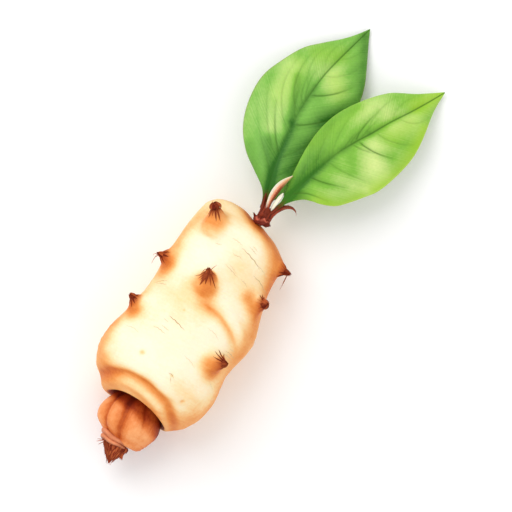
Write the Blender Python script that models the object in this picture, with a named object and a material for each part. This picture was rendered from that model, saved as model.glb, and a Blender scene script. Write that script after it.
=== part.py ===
"""A piece of ginger root lying down: knobbly rhizome, ribbed end knob, dry bud scales and a leafy shoot.

+Y runs from the end knob to the leaves, +X is to the right seen from above, +Z is up. The origin is
in the middle of the small flat that the rhizome rests on. Metres.
"""

import math

import bmesh
import bpy
import numpy as np
from mathutils import Vector
from mathutils.bvhtree import BVHTree

MM = 0.001
RIGHT = Vector((1, 0, 0))
ALONG = Vector((0, 1, 0))
UP = Vector((0, 0, 1))

# Driving dimensions
ROOT_LENGTH = 92 * MM  # rhizome, from its lip to its crown
ROOT_WIDTH = 55 * MM
ROOT_DEPTH = 45 * MM
REST_CUT = 0.8 * MM  # how much the rhizome's round underside is flattened where it rests
KNOB_WIDTH = 26 * MM
KNOB_DEPTH = 23 * MM
KNOB_LENGTH = 14.5 * MM  # the part that shows below the lip
LEFT_LEAF_LENGTH = 84 * MM  # seen from above, from the shoot to the tip
LEFT_LEAF_WIDTH = 39 * MM
RIGHT_LEAF_LENGTH = 83 * MM
RIGHT_LEAF_WIDTH = 34 * MM
LEAF_THICKNESS = 0.9 * MM
BRACT_WIDTH = 3.4 * MM
STALK_RADIUS = 1.0 * MM  # leaf stalks, bract and curled scale where they leave the shoot
SCALE_RADIUS = 2.2 * MM  # dry scales on the tip of a bud
GAP = 0.3 * MM  # between neighbouring pieces

# Lip, groove and socket
LIP_PLACE = -0.459  # of the rhizome's length
LIP_WALL = 2.0 * MM
SOCKET_ROOM = 1.2 * MM  # between the knob's neck and the socket's wall
HOOD_ROOM = 4.5 * MM  # more room over the knob, where the lip overhangs it
SOCKET_DEPTH = 8.0 * MM
GROOVE_DEPTH = 1.0 * MM

# End knob
KNOB_X = -1.0 * MM
KNOB_Z = 0.378  # of the rhizome's depth
KNOB_RIBS = 8
RIB_TURN = 18  # degrees from the right side to the first furrow
RIB_DEPTH = 0.07  # of the knob's radius
COLLAR_LENGTH = 2.6 * MM
TIP_LENGTH = 6.0 * MM

# Shoot
COLLAR_WALL = 0.9 * MM
SHOOT_COLLAR_LENGTH = 2.4 * MM
SHOOT_LENGTH = 4.4 * MM
SHOOT_RIM = 0.3 * MM  # of the stump's top, outside the stalks
STALK_GAP = 0.85 * MM  # from the stump to the middle of a stalk's tilted end
SHOOT_WAIST = 0.85  # of the stump's top, where the sheath holds it
CROWN_AIM = (6.0, 9.2, 2.0)  # from the rhizome's middle, at the top bud, to the shoot
CROWN_LEAN = (0.35, 0.12)  # beside its run along +Y, how much the shoot follows the skin and turns up
CROWN_FLARE = 1.5  # foot of the crown's mound, as a share of its top
CROWN_HEIGHT = 1.0 * MM

ROOT_SIDES = 48  # points round each rhizome section
ROOT_STEPS = 2  # sections made between each two that are given
SMALL_SIDES = 20
LEAF_SIDES = 24
LEAF_STEPS = 22

# The rhizome's sections: place along it, then left, right, bottom and top, as shares of the
# length, the width (left and right) and the depth (bottom and top).
ROOT_SHAPE = [
    (0.545, -0.11, -0.03, 0.37, 0.42),
    (0.535, -0.19, 0.07, 0.27, 0.54),
    (0.51, -0.25, 0.19, 0.19, 0.64),
    (0.48, -0.28, 0.31, 0.11, 0.73),
    (0.435, -0.30, 0.40, 0.04, 0.79),
    (0.37, -0.32, 0.44, 0.0, 0.82),
    (0.25, -0.345, 0.45, 0.0, 0.83),
    (0.14, -0.35, 0.49, 0.0, 0.855),
    (0.035, -0.37, 0.525, 0.0, 0.91),
    (-0.055, -0.40, 0.49, 0.0, 0.935),
    (-0.14, -0.45, 0.455, 0.0, 0.955),
    (-0.24, -0.48, 0.47, 0.0, 0.99),
    (-0.295, -0.465, 0.46, 0.0, 0.98),
]
# From there to the lip: place and how far its top is set back and its right side hangs down (mm),
# then how much of the way out from the lip to the last section it is, at the sides and at the top.
LIP_SHAPE = [
    (7.7, 6.0, 1.2, 0.79, 0.87),
    (3.2, 9.0, 2.2, 0.48, 0.62),
    (2.0, 8.6, 2.1, 0.36, 0.58),
    (0.8, 7.2, 1.9, 0.22, 0.39),
    (0.0, 5.4, 1.75, 0.0, 0.0),
]
GROOVE_ROW = 1  # the row of LIP_SHAPE that lies in the groove

# The knob's sections: share of its length from the lip (negative inside the socket), share of its size.
KNOB_SHAPE = [
    (-0.52, 0.62),
    (-0.26, 0.80),
    (0.0, 0.90),
    (0.30, 1.0),
    (0.55, 0.94),
    (0.79, 0.76),
    (0.95, 0.57),
]
COLLAR_SHAPE = [(0.0, 0.50), (0.22, 0.56), (0.48, 0.46), (0.74, 0.51), (1.0, 0.43)]
TIP_SHAPE = [(0.0, 0.41, 0.0), (0.3, 0.32, 0.2), (0.65, 0.18, 0.5), (1.0, 0.03, 1.3)]  # last: mm to the right
# The socket behind the lip: share of its depth, then how much of the hood's room is left there.
SOCKET_SHAPE = [(0.35, 0.6), (0.7, 0.2), (1.0, 0.0)]

# Each bud: place along the rhizome (share of its length), angle round it (degrees, 0 right, 90 up),
# how much it leans to the crown and to the right, mound height, mound radius and scale length (mm).
BUDS = {
    "top": (0.43, 125, 1.3, -0.05, 5.4, 6.6, 4.2),
    "left_upper": (0.205, 163, -0.25, 0.0, 2.8, 4.8, 3.2),
    "left_lower": (-0.035, 163, 0.3, 0.0, 3.4, 4.8, 2.8),
    "centre": (0.18, 99, 1.3, 0.15, 5.0, 5.8, 4.2),
    "right_upper": (0.205, 27, 0.3, 0.1, 3.4, 5.0, 3.6),
    "far_right": (0.385, 10, -0.4, 0.0, 1.8, 4.4, 3.6),
    "right_lower": (-0.105, 44, 0.35, 0.75, 4.4, 5.8, 3.8),
}

MOUND_SHARES = (0.0, 0.25, 0.5, 0.75, 1.0)  # of a mound's height, where its sections are
SCALE_SHAPE = [(0, 1.0), (0.25, 1.08), (0.55, 0.72), (0.8, 0.36), (1, 0.08)]  # share of length, of radius
SHEATH_SHAPE = [(0, 1.0), (0.35, 1.04), (1, 0.93)]

# Leaf outlines: place along the midrib, then the half-width on the left and on the right, as shares
# of the leaf's length and width.
LEFT_LEAF_OUTLINE = [
    (0.0, 0.0, 0.0),
    (0.07, 0.06, 0.05),
    (0.15, 0.21, 0.17),
    (0.28, 0.43, 0.32),
    (0.45, 0.52, 0.46),
    (0.62, 0.45, 0.49),
    (0.78, 0.30, 0.38),
    (0.90, 0.12, 0.195),
    (1.0, 0.0, 0.0),
]
RIGHT_LEAF_OUTLINE = [
    (0.0, 0.0, 0.0),
    (0.07, 0.065, 0.04),
    (0.15, 0.15, 0.15),
    (0.28, 0.27, 0.50),
    (0.45, 0.39, 0.605),
    (0.62, 0.39, 0.545),
    (0.78, 0.31, 0.37),
    (0.90, 0.147, 0.147),
    (1.0, 0.0, 0.0),
]
BRACT_OUTLINE = [(0.0, 0.3, 0.3), (0.35, 0.5, 0.5), (0.7, 0.38, 0.38), (1.0, 0.0, 0.0)]
STALK_SHARE = 0.12  # of a leaf's length, where its round stalk has gone over into the flat blade
STALK_RUN = 2.5 * MM  # how far each stalk runs straight on from the shoot
LEAF_EDGE = 0.25 * MM  # least half-width, at the tip
# Midribs: right of the shoot and along it as shares of the leaf's length, and height as a share of
# the shoot's height. The leaves arch down from the shoot until their tips lie on the surface.
LEFT_MIDRIB = [(-0.05, 0.23, 1.06), (-0.07, 0.49, 0.74), (-0.035, 0.71, 0.41), (0.045, 0.99, 0.03)]
RIGHT_MIDRIB = [
    (0.07, 0.17, 1.22),
    (0.14, 0.38, 1.10),
    (0.25, 0.56, 0.86),
    (0.385, 0.76, 0.45),
    (0.47, 0.905, 0.03),
]
BRACT_PATH = [(0.0, 0.0, 0.0), (-0.5, 5.5, 2.2), (0.4, 10.5, 4.0), (2.7, 16.0, 4.8)]  # mm from its start
# The curled scale: mm from its start, then its radius.
CURL_PATH = [
    (0.0, 0.0, 0.0, 1.0),
    (0.4, 1.4, 0.1, 1.0),
    (3.4, 3.6, -0.4, 0.95),
    (6.3, 4.8, -0.6, 0.75),
    (9.1, 4.6, -1.2, 0.45),
    (10.8, 3.4, -2.2, 0.2),
]
BLADE_DROOP = 0.19  # how far a margin hangs below the midrib, as a share of the half-width
BLADE_BULGE = 0.9 * MM  # how far each half of a blade swells between midrib and margin
BULGE_WIDTH = 8 * MM  # a half narrower than this swells less


def clear_scene():
    for old in list(bpy.data.objects):
        bpy.data.objects.remove(old, do_unlink=True)


def finish(name, colour, roughness):
    """A plain material for one kind of tissue."""
    material = bpy.data.materials.new(name)
    material.use_nodes = True
    shader = material.node_tree.nodes["Principled BSDF"]
    shader.inputs["Base Color"].default_value = (*colour, 1)
    shader.inputs["Roughness"].default_value = roughness
    shader.inputs["Metallic"].default_value = 0.0
    return material


def smooth_rows(rows, steps):
    """Rows on a smooth curve through the given ones, with this many steps from each to the next."""
    rows = np.array(rows, float)
    padded = np.vstack([2 * rows[0] - rows[1], rows, 2 * rows[-1] - rows[-2]])
    made = []
    for before, start, end, after in zip(padded, padded[1:], padded[2:], padded[3:]):
        for step in range(steps):
            t = step / steps
            made.append(
                start
                + 0.5 * t * (end - before + t * (2 * before - 5 * start + 4 * end - after)
                             + t * t * (3 * start - before - 3 * end + after))
            )
    made.append(rows[-1])
    return made


def value_at(rows, place):
    """The rows' other columns at this place in their first column, on a smooth curve."""
    fine = np.array(smooth_rows(rows, 12))
    order = np.argsort(fine[:, 0])
    return [float(np.interp(place, fine[order, 0], fine[order, k])) for k in range(1, fine.shape[1])]


def new_object(name, bm, material):
    bmesh.ops.recalc_face_normals(bm, faces=bm.faces)
    mesh = bpy.data.meshes.new(name)
    bm.to_mesh(mesh)
    bm.free()
    mesh.materials.append(material)
    mesh.shade_smooth()
    made = bpy.data.objects.new(name, mesh)
    bpy.context.scene.collection.objects.link(made)
    return made


def loft(rings):
    """A closed skin through rings of points, each ring made as a circle and bridged to the next."""
    bm = bmesh.new()
    loops = []
    for ring in rings:
        circle = bmesh.ops.create_circle(bm, cap_ends=False, segments=len(ring), radius=1)["verts"]
        for vert, place in zip(circle, ring):
            vert.co = place
        loops.append(list({edge for vert in circle for edge in vert.link_edges}))
    for first, second in zip(loops, loops[1:]):
        bmesh.ops.bridge_loops(bm, edges=first + second)
    for end in (loops[0], loops[-1]):
        bmesh.ops.edgeloop_fill(bm, edges=end)
    return bm


def oval(y, left, right, bottom, top, sides, set_back=0.0, hang=0.0):
    """One section across the root. Its top can be set back and its right side hang further down."""
    ring = []
    for k in range(sides):
        angle = 2 * math.pi * k / sides
        across, height = math.cos(angle), math.sin(angle)
        x = (left + right) / 2 + across * (right - left) / 2
        z = (bottom + top) / 2 + height * (top - bottom) / 2
        ring.append(Vector((x, y + set_back * ((1 + height) / 2) ** 2.5 - hang * across, z)))
    return ring


def tube_ring(centre, direction, radius, sides, flat=1.0):
    """A ring square to a direction. flat squeezes it in height."""
    side = direction.cross(UP).normalized()
    rise = side.cross(direction).normalized()
    ring = []
    for k in range(sides):
        angle = 2 * math.pi * k / sides
        ring.append(centre + radius * (side * math.cos(angle) + rise * flat * math.sin(angle)))
    return ring


def knob_section(share):
    """Left, right, bottom and top of the knob at a share of its full size."""
    half_width, half_depth = share * KNOB_WIDTH / 2, share * KNOB_DEPTH / 2
    z = KNOB_Z * ROOT_DEPTH
    return KNOB_X - half_width, KNOB_X + half_width, z - half_depth, z + half_depth


def root_rings():
    """Every section of the rhizome from the crown to the lip, then back into the socket."""
    rows = [
        (y * ROOT_LENGTH, left * ROOT_WIDTH, right * ROOT_WIDTH,
         bottom * ROOT_DEPTH - REST_CUT, top * ROOT_DEPTH, 0.0, 0.0)
        for y, left, right, bottom, top in ROOT_SHAPE
    ]
    lip = LIP_PLACE * ROOT_LENGTH
    left, right, bottom, top = knob_section(value_at(KNOB_SHAPE, 0.0)[0])
    mouth = np.array([left - SOCKET_ROOM, right + SOCKET_ROOM, bottom - SOCKET_ROOM,
                      top + SOCKET_ROOM + HOOD_ROOM])
    outward = np.array([-1, 1, -1, 1])
    rim = mouth + outward * LIP_WALL
    body = np.array(rows[-1][1:5])
    for number, (place, set_back, hang, side_share, top_share) in enumerate(LIP_SHAPE):
        share = np.array([side_share, side_share, side_share, top_share])
        section = rim + share * (body - rim)
        if number == GROOVE_ROW:
            section = section - outward * GROOVE_DEPTH * np.array([0.5, 0.5, 0, 1])
        rows.append((lip + place * MM, *section, set_back * MM, hang * MM))
    rings = [oval(*row[:5], ROOT_SIDES, *row[5:]) for row in smooth_rows(rows, ROOT_STEPS)]

    set_back, hang = LIP_SHAPE[-1][1] * MM, LIP_SHAPE[-1][2] * MM
    rings.append(oval(lip - 0.3 * LIP_WALL, *(mouth + outward * 0.45 * LIP_WALL), ROOT_SIDES, set_back, hang))
    rings.append(oval(lip, *mouth, ROOT_SIDES, set_back, hang))
    for share, shrink in SOCKET_SHAPE:
        inside = -share * SOCKET_DEPTH / KNOB_LENGTH
        left, right, bottom, top = knob_section(value_at(KNOB_SHAPE, inside)[0])
        wall = np.array([left, right, bottom, top + shrink * HOOD_ROOM]) + outward * SOCKET_ROOM
        rings.append(oval(lip + share * SOCKET_DEPTH, *wall, ROOT_SIDES, shrink * set_back, shrink * hang))
    return rings


def make_rhizome(material):
    """The rhizome's skin, cut flat where it rests. Its bud mounds are joined on later."""
    bm = loft(root_rings())
    bmesh.ops.bisect_plane(
        bm, geom=bm.verts[:] + bm.edges[:] + bm.faces[:], dist=1e-7,
        plane_co=(0, 0, 0), plane_no=(0, 0, -1), clear_outer=True,
    )
    bmesh.ops.holes_fill(bm, edges=[edge for edge in bm.edges if edge.is_boundary])
    skin = BVHTree.FromBMesh(bm)
    return new_object("rhizome", bm, material), skin


def middle_of(share):
    """The rhizome's middle at this share of its length."""
    left, right, bottom, top = value_at(ROOT_SHAPE, share)
    return Vector(((left + right) / 2 * ROOT_WIDTH, share * ROOT_LENGTH, (bottom + top) / 2 * ROOT_DEPTH))


def join_mound(rhizome, name, foot, direction, height, radius, tip_radius):
    """Grows a round-shouldered mound with a small flat end out of the rhizome. Returns that end's centre."""
    rings = [tube_ring(foot - direction * 0.5 * radius, direction, radius, SMALL_SIDES)]
    for share in MOUND_SHARES:
        out = tip_radius + (radius - tip_radius) * (1 - share**1.5) ** 1.1
        rings.append(tube_ring(foot + direction * share * height, direction, out, SMALL_SIDES))
    mound = new_object(name, loft(rings), rhizome.data.materials[0])
    mound.hide_render = True
    mound.display_type = "WIRE"
    joined = rhizome.modifiers.new(name, "BOOLEAN")
    joined.operation = "UNION"
    joined.object = mound
    return foot + direction * height


def make_bud(rhizome, skin, name, shape, material):
    """A mound on the rhizome, and the dry scales that close its tip."""
    place, angle, lean, lean_right, height, radius, scale_length = shape
    angle = math.radians(angle)
    foot, normal, _, _ = skin.ray_cast(middle_of(place), Vector((math.cos(angle), 0, math.sin(angle))))
    direction = (normal + lean * ALONG + lean_right * RIGHT).normalized()
    end = join_mound(rhizome, "mound_" + name, foot, direction, height * MM, radius * MM, SCALE_RADIUS)
    rings = []
    for share, size in SCALE_SHAPE:
        centre = end + direction * (GAP + share * scale_length * MM)
        rings.append(tube_ring(centre, direction, size * SCALE_RADIUS, SMALL_SIDES))
    return new_object("bud_scale_" + name, loft(rings), material)


def make_knob(material):
    """The ribbed end knob, whose neck sits in the socket behind the lip."""
    lip = LIP_PLACE * ROOT_LENGTH
    rings = []
    for place, share in smooth_rows(KNOB_SHAPE, 2):
        left, right, bottom, top = knob_section(share)
        ring = oval(lip - place * KNOB_LENGTH, left, right, bottom, top, ROOT_SIDES)
        middle = Vector(((left + right) / 2, lip - place * KNOB_LENGTH, (bottom + top) / 2))
        depth = RIB_DEPTH * max(0.0, math.sin(math.pi * min(1.0, 0.5 + 0.5 * place)))
        for k, point in enumerate(ring):
            turn = 2 * math.pi * k / len(ring) - math.radians(RIB_TURN)
            furrow = (0.5 + 0.5 * math.cos(KNOB_RIBS * turn)) ** 3
            ring[k] = middle + (point - middle) * (1 - depth * furrow)
        rings.append(ring)
    return new_object("end_knob", loft(rings), material)


def make_knob_end(name, shape, start, length, material):
    """The ring folds or the pointed scale beyond the knob, in sections like the knob's."""
    rings = []
    for place, share, *right_by in smooth_rows(shape, 2):
        left, right, bottom, top = knob_section(share)
        shift = (right_by[0] if right_by else 0.0) * MM
        rings.append(oval(start - place * length, left + shift, right + shift, bottom, top, SMALL_SIDES))
    return new_object(name, loft(rings), material)


def make_shoot(rhizome, skin, materials):
    """The crown's mound, the sheath ring and the shoot's stump. Returns where stalks start, the
    stump's direction and how far from its middle each stalk is."""
    spread = (2 * STALK_RADIUS + GAP) / math.sqrt(2)
    top_radius = spread + STALK_RADIUS + SHOOT_RIM
    foot_radius = SHOOT_WAIST * top_radius
    collar_radius = foot_radius + GAP + COLLAR_WALL
    foot, normal, _, _ = skin.ray_cast(middle_of(BUDS["top"][0]), Vector(CROWN_AIM))
    direction = (CROWN_LEAN[0] * normal + ALONG + CROWN_LEAN[1] * UP).normalized()
    crown_radius = CROWN_FLARE * collar_radius
    end = join_mound(rhizome, "mound_crown", foot, direction, CROWN_HEIGHT, crown_radius, collar_radius)
    seat = end + direction * GAP

    def turned(name, profile, length, material):
        rings = [tube_ring(seat + direction * place * length, direction, radius, SMALL_SIDES)
                 for place, radius in profile]
        return new_object(name, loft(rings), material)

    sheath = [(place, share * collar_radius) for place, share in SHEATH_SHAPE]
    collar = turned("shoot_collar", sheath, SHOOT_COLLAR_LENGTH, materials["collar"])
    bore_radius = foot_radius + GAP
    bore = turned("shoot_collar_bore", [(-0.5, bore_radius), (1.5, bore_radius)],
                  SHOOT_COLLAR_LENGTH, materials["collar"])
    bore.hide_render = True
    bore.display_type = "WIRE"
    cut = collar.modifiers.new("bore", "BOOLEAN")
    cut.operation = "DIFFERENCE"
    cut.object = bore
    stump = [(0, foot_radius), (0.6, foot_radius), (0.8, top_radius), (1, top_radius)]
    turned("shoot_base", stump, SHOOT_LENGTH, materials["shoot"])
    return seat + direction * (SHOOT_LENGTH + STALK_GAP), direction, spread


def blade(name, midrib, outline, width, droop, bulge, steps, material):
    """A leaf as one skin: sections across the midrib, thin at the margins and round at the stalk."""
    fine = np.array(smooth_rows(midrib, 16))
    lengths = np.cumsum([0.0, *np.linalg.norm(np.diff(fine[:, :2], axis=0), axis=1)])

    def midrib_at(reach):
        return Vector([float(np.interp(reach, lengths, fine[:, k])) for k in range(3)])

    rings = []
    for step in range(steps + 1):
        share = step / steps
        reach = share * lengths[-1]
        centre = midrib_at(reach)
        right_hand = (midrib_at(reach + MM) - midrib_at(reach - MM)).cross(UP).normalized()
        stalk = max(0.0, 1 - share / STALK_SHARE)
        least = max(LEAF_EDGE, stalk * STALK_RADIUS)
        left, right = (max(part * width, least) for part in value_at(outline, share))
        half = LEAF_THICKNESS / 2 + (STALK_RADIUS - LEAF_THICKNESS / 2) * stalk**0.7
        ring = []
        for k in range(LEAF_SIDES):
            angle = 2 * math.pi * k / LEAF_SIDES
            across = math.cos(angle)
            side = right if across > 0 else left
            hang = droop * side * across**2 * (1 - stalk)
            swell = bulge * math.sin(math.pi * abs(across)) * min(1.0, side / BULGE_WIDTH)
            ring.append(centre + right_hand * across * side + UP * (half * math.sin(angle) - hang + swell))
        rings.append(ring)
    return new_object(name, loft(rings), material)


def make_leaf(name, start, length, width, shares, outline, material):
    """A leaf from its place on the shoot, out along its midrib and down to the resting surface."""
    points = [start, start + ALONG * STALK_RUN]
    points += [Vector((start.x + x * length, start.y + y * length, z * start.z)) for x, y, z in shares]
    blade(name, points, outline, width, BLADE_DROOP, BLADE_BULGE, LEAF_STEPS, material)


def make_bract(start, material):
    """The pale bract, which stands over the left leaf's stalk."""
    points = [start + Vector(step) * MM for step in BRACT_PATH]
    blade("bract", points, BRACT_OUTLINE, BRACT_WIDTH, BLADE_DROOP / 2, 0.0, LEAF_STEPS // 2, material)


def make_curl(start, material):
    """A dry scale that curls away from the shoot to a hair-thin end."""
    rows = smooth_rows(CURL_PATH, 4)
    centres = [start + Vector(row[:3]) * MM for row in rows]
    rings = []
    for number, (centre, row) in enumerate(zip(centres, rows)):
        ahead = centres[min(number + 1, len(rows) - 1)] - centres[max(number - 1, 0)]
        rings.append(tube_ring(centre, ahead.normalized(), float(row[3]) * MM, 12, flat=0.8))
    new_object("curled_scale", loft(rings), material)


def main():
    clear_scene()
    flesh = finish("rhizome_skin", (0.96, 0.76, 0.47), 0.55)
    cork = finish("knob_cork", (0.58, 0.22, 0.06), 0.6)
    fold = finish("knob_fold", (0.78, 0.28, 0.12), 0.55)
    dry = finish("dry_scale", (0.16, 0.03, 0.01), 0.75)
    red = finish("shoot_skin", (0.25, 0.04, 0.015), 0.6)
    sheath = finish("sheath", (0.42, 0.10, 0.06), 0.6)
    deep_green = finish("leaf_left", (0.23, 0.47, 0.10), 0.5)
    light_green = finish("leaf_right", (0.35, 0.58, 0.09), 0.5)
    pale = finish("bract", (0.90, 0.55, 0.36), 0.55)
    curled = finish("curled_scale", (0.28, 0.05, 0.03), 0.65)

    rhizome, skin = make_rhizome(flesh)
    for name, shape in BUDS.items():
        make_bud(rhizome, skin, name, shape, dry)

    make_knob(cork)
    neck = LIP_PLACE * ROOT_LENGTH - KNOB_SHAPE[-1][0] * KNOB_LENGTH - GAP
    make_knob_end("knob_collar", COLLAR_SHAPE, neck, COLLAR_LENGTH, fold)
    make_knob_end("knob_tip_scale", TIP_SHAPE, neck - COLLAR_LENGTH - GAP, TIP_LENGTH, dry)

    top, direction, spread = make_shoot(rhizome, skin, {"collar": sheath, "shoot": red})
    across = direction.cross(UP).normalized() * spread
    rise = across.cross(direction)
    make_leaf("leaf_left", top - across, LEFT_LEAF_LENGTH, LEFT_LEAF_WIDTH, LEFT_MIDRIB,
              LEFT_LEAF_OUTLINE, deep_green)
    make_leaf("leaf_right", top + across, RIGHT_LEAF_LENGTH, RIGHT_LEAF_WIDTH, RIGHT_MIDRIB,
              RIGHT_LEAF_OUTLINE, light_green)
    make_bract(top + rise, pale)
    make_curl(top - rise, curled)


main()
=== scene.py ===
import math
import random

import bmesh
import bpy
import numpy as np
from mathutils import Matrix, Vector, noise
from mathutils.bvhtree import BVHTree


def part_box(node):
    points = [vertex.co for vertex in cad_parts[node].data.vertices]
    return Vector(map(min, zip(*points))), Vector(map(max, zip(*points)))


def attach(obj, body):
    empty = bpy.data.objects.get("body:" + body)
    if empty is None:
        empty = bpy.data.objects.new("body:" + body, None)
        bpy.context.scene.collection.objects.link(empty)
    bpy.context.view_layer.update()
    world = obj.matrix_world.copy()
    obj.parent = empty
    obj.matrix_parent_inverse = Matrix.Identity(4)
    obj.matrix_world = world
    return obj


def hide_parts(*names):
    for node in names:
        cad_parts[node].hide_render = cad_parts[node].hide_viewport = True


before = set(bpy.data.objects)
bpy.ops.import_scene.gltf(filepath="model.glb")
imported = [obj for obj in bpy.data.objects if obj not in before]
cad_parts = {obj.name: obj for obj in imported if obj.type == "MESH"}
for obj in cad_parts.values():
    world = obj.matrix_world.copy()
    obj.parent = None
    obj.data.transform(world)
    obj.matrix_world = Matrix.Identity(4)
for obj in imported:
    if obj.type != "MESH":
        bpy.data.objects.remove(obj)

# Ginger root lying down, seen from above: +Y runs from the end knob to the leaves, +X is right, +Z up.
# The dictionary above each piece's code holds what a user may change, in mm and degrees by default.
mm = 0.001
right, along, up = Vector((1, 0, 0)), Vector((0, 1, 0)), Vector((0, 0, 1))
wholeTurn = 2 * math.pi
rayHeight = 0.2  # metres, well above everything
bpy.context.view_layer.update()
dice = random.Random(7)


def fromHex(code):  # sRGB hex to the linear colour that a shader socket takes
    parts = [int(code[k:k + 2], 16) / 255 for k in (1, 3, 5)]
    return (*[c / 12.92 if c <= 0.04045 else ((c + 0.055) / 1.055) ** 2.4 for c in parts], 1.0)


def addNode(tree, kind, inputs=None, output=0, stops=(), **settings):
    # an input is a value or an output socket to link from; gives back one output socket of the new node
    node = tree.nodes.new("ShaderNode" + kind)
    for name, value in settings.items():
        setattr(node, name, value)
    for socket, value in (inputs or {}).items():
        if isinstance(value, bpy.types.NodeSocket):
            tree.links.new(value, node.inputs[socket])
        else:
            node.inputs[socket].default_value = value
    for k, (place, code) in enumerate(stops):  # a colour ramp starts with two stops
        stop = node.color_ramp.elements[k] if k < 2 else node.color_ramp.elements.new(place)
        stop.position = place
        stop.color = fromHex(code)
    return node.outputs[output]


def newMaterial(name, roughness, **shaderValues):
    material = bpy.data.materials.new(name)
    material.use_nodes = True
    shader = material.node_tree.nodes["Principled BSDF"]
    for socket, value in {"Roughness": roughness, "IOR": 1.45, **shaderValues}.items():
        shader.inputs[socket.replace("_", " ")].default_value = value
    return material, material.node_tree, shader


def swing(tree, total, *parts):  # adds patterns of 0 to 1, each by so much up and down
    for pattern, amount in parts:
        shift = addNode(tree, "Math", {0: pattern, 1: amount, 2: -amount / 2}, operation="MULTIPLY_ADD")
        total = addNode(tree, "Math", {0: total, 1: shift}, operation="ADD")
    return total


def smoothPath(points, steps):  # Catmull-Rom through rows of numbers, ends included
    rows = np.array(points, float)
    padded = np.vstack([2 * rows[0] - rows[1], rows, 2 * rows[-1] - rows[-2]])
    made = []
    for a, b, c, d in zip(padded, padded[1:], padded[2:], padded[3:]):
        for t in np.arange(steps) / steps:
            made.append(b + 0.5 * t * (c - a + t * (2 * a - 5 * b + 4 * c - d + t * (3 * b - a - 3 * c + d))))
    return np.array([*made, rows[-1]])


def evenPath(points, count, steps=12):  # the same curve at evenly spaced places
    fine = smoothPath(points, steps)
    run = np.r_[0, np.cumsum(np.linalg.norm(np.diff(fine, axis=0), axis=1))]
    share = np.linspace(0, run[-1], count)
    return np.stack([np.interp(share, run, fine[:, k]) for k in range(fine.shape[1])], axis=1)


def between(value, rows):  # read off a table of (place, value) rows
    return np.interp(value, *zip(*rows))


def smoothStep(low, high, value):
    t = np.clip((value - low) / (high - low), 0, 1)
    return t * t * (3 - 2 * t)


def bell(distance, width):
    return np.exp(-(distance / width) ** 2)


def nearPath(points, path):  # distance from each point to the path, and the share along it
    best = np.full(len(points), 1e9)
    place = np.zeros(len(points))
    for k, (a, b) in enumerate(zip(path, path[1:])):
        run = b - a
        t = np.clip((points - a) @ run / max(run @ run, 1e-18), 0, 1)
        gap = np.linalg.norm(points - (a + t[:, None] * run), axis=1)
        nearer = gap < best
        best[nearer] = gap[nearer]
        place[nearer] = (k + t[nearer]) / (len(path) - 1)
    return best, place


def alongAxis(points, foot, direction):  # each point's place along an axis and its distance from it
    rel = points - np.array(foot)
    axial = rel @ np.array(direction)
    return rel, axial, np.linalg.norm(rel - axial[:, None] * np.array(direction), axis=1)


def noiseAt(points, size, seed=0.0):  # smooth noise, about -1 to 1, with lumps of this size in metres
    return np.array([noise.noise(Vector(p) / size + Vector((seed, -seed, 2 * seed))) for p in points])


def readRows(rows, kind):  # three numbers for each vertex
    values = np.empty(len(rows) * 3, np.float32)
    rows.foreach_get(kind, values)
    return values.reshape(-1, 3).astype(float)


def setPlaces(mesh, co):
    mesh.vertices.foreach_set("co", co.astype(np.float32).ravel())
    mesh.update()


def addField(mesh, name, values):  # a number for each vertex, which a material reads by this name
    field = mesh.attributes.new(name, "FLOAT", "POINT")
    field.data.foreach_set("value", np.asarray(values, np.float32))


def newPiece(name, bm):
    mesh = bpy.data.meshes.new(name)
    bm.to_mesh(mesh)
    bm.free()
    piece = bpy.data.objects.new(name, mesh)
    bpy.context.scene.collection.objects.link(piece)
    return piece


def addModifier(piece, kind, **settings):
    modifier = piece.modifiers.new(kind.lower(), kind)
    for name, value in settings.items():
        setattr(modifier, name, value)


def settle(piece):  # turns the modifiers into mesh
    graph = bpy.context.evaluated_depsgraph_get()
    mesh = bpy.data.meshes.new_from_object(piece.evaluated_get(graph))
    piece.modifiers.clear()
    piece.data = mesh
    return mesh


def finishPiece(piece, materials, slot, *nodes):
    piece.data.materials.clear()
    for material in materials:
        piece.data.materials.append(material)
    piece.data.shade_smooth()
    if nodes:
        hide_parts(*nodes)
    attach(piece, "root")
    print(piece.name, len(piece.data.polygons), "faces")
    return piece


def finishStrands(name, bm, material, slot, *nodes):
    bmesh.ops.recalc_face_normals(bm, faces=bm.faces)
    return finishPiece(newPiece(name, bm), [material], slot, *nodes)


def mergedCopy(node):  # a CAD node's skin with its loose triangles joined
    bm = bmesh.new()
    bm.from_mesh(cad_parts[node].data)
    bmesh.ops.remove_doubles(bm, verts=bm.verts, dist=1e-6)
    return bm


def treeOf(mesh):
    bm = bmesh.new()
    bm.from_mesh(mesh)
    tree = BVHTree.FromBMesh(bm)
    bm.free()
    return tree


def middleOf(node):
    lo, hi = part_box(node)
    return (lo + hi) / 2


def around(first, second, turn):  # the direction at this turn from the first one towards the second
    return first * math.cos(turn) + second * math.sin(turn)


def addRing(bm, places, shades):  # a ring of vertices at these places; gives back its edges
    layer = bm.verts.layers.float.get("shade") or bm.verts.layers.float.new("shade")
    circle = bmesh.ops.create_circle(bm, cap_ends=False, segments=len(places), radius=1)["verts"]
    for vert, place, shade in zip(circle, places, shades):
        vert.co = place
        vert[layer] = shade
    return list(dict.fromkeys(edge for vert in circle for edge in vert.link_edges))


def bridgeRings(bm, rings):
    for first, second in zip(rings, rings[1:]):
        bmesh.ops.bridge_loops(bm, edges=first + second)


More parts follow.
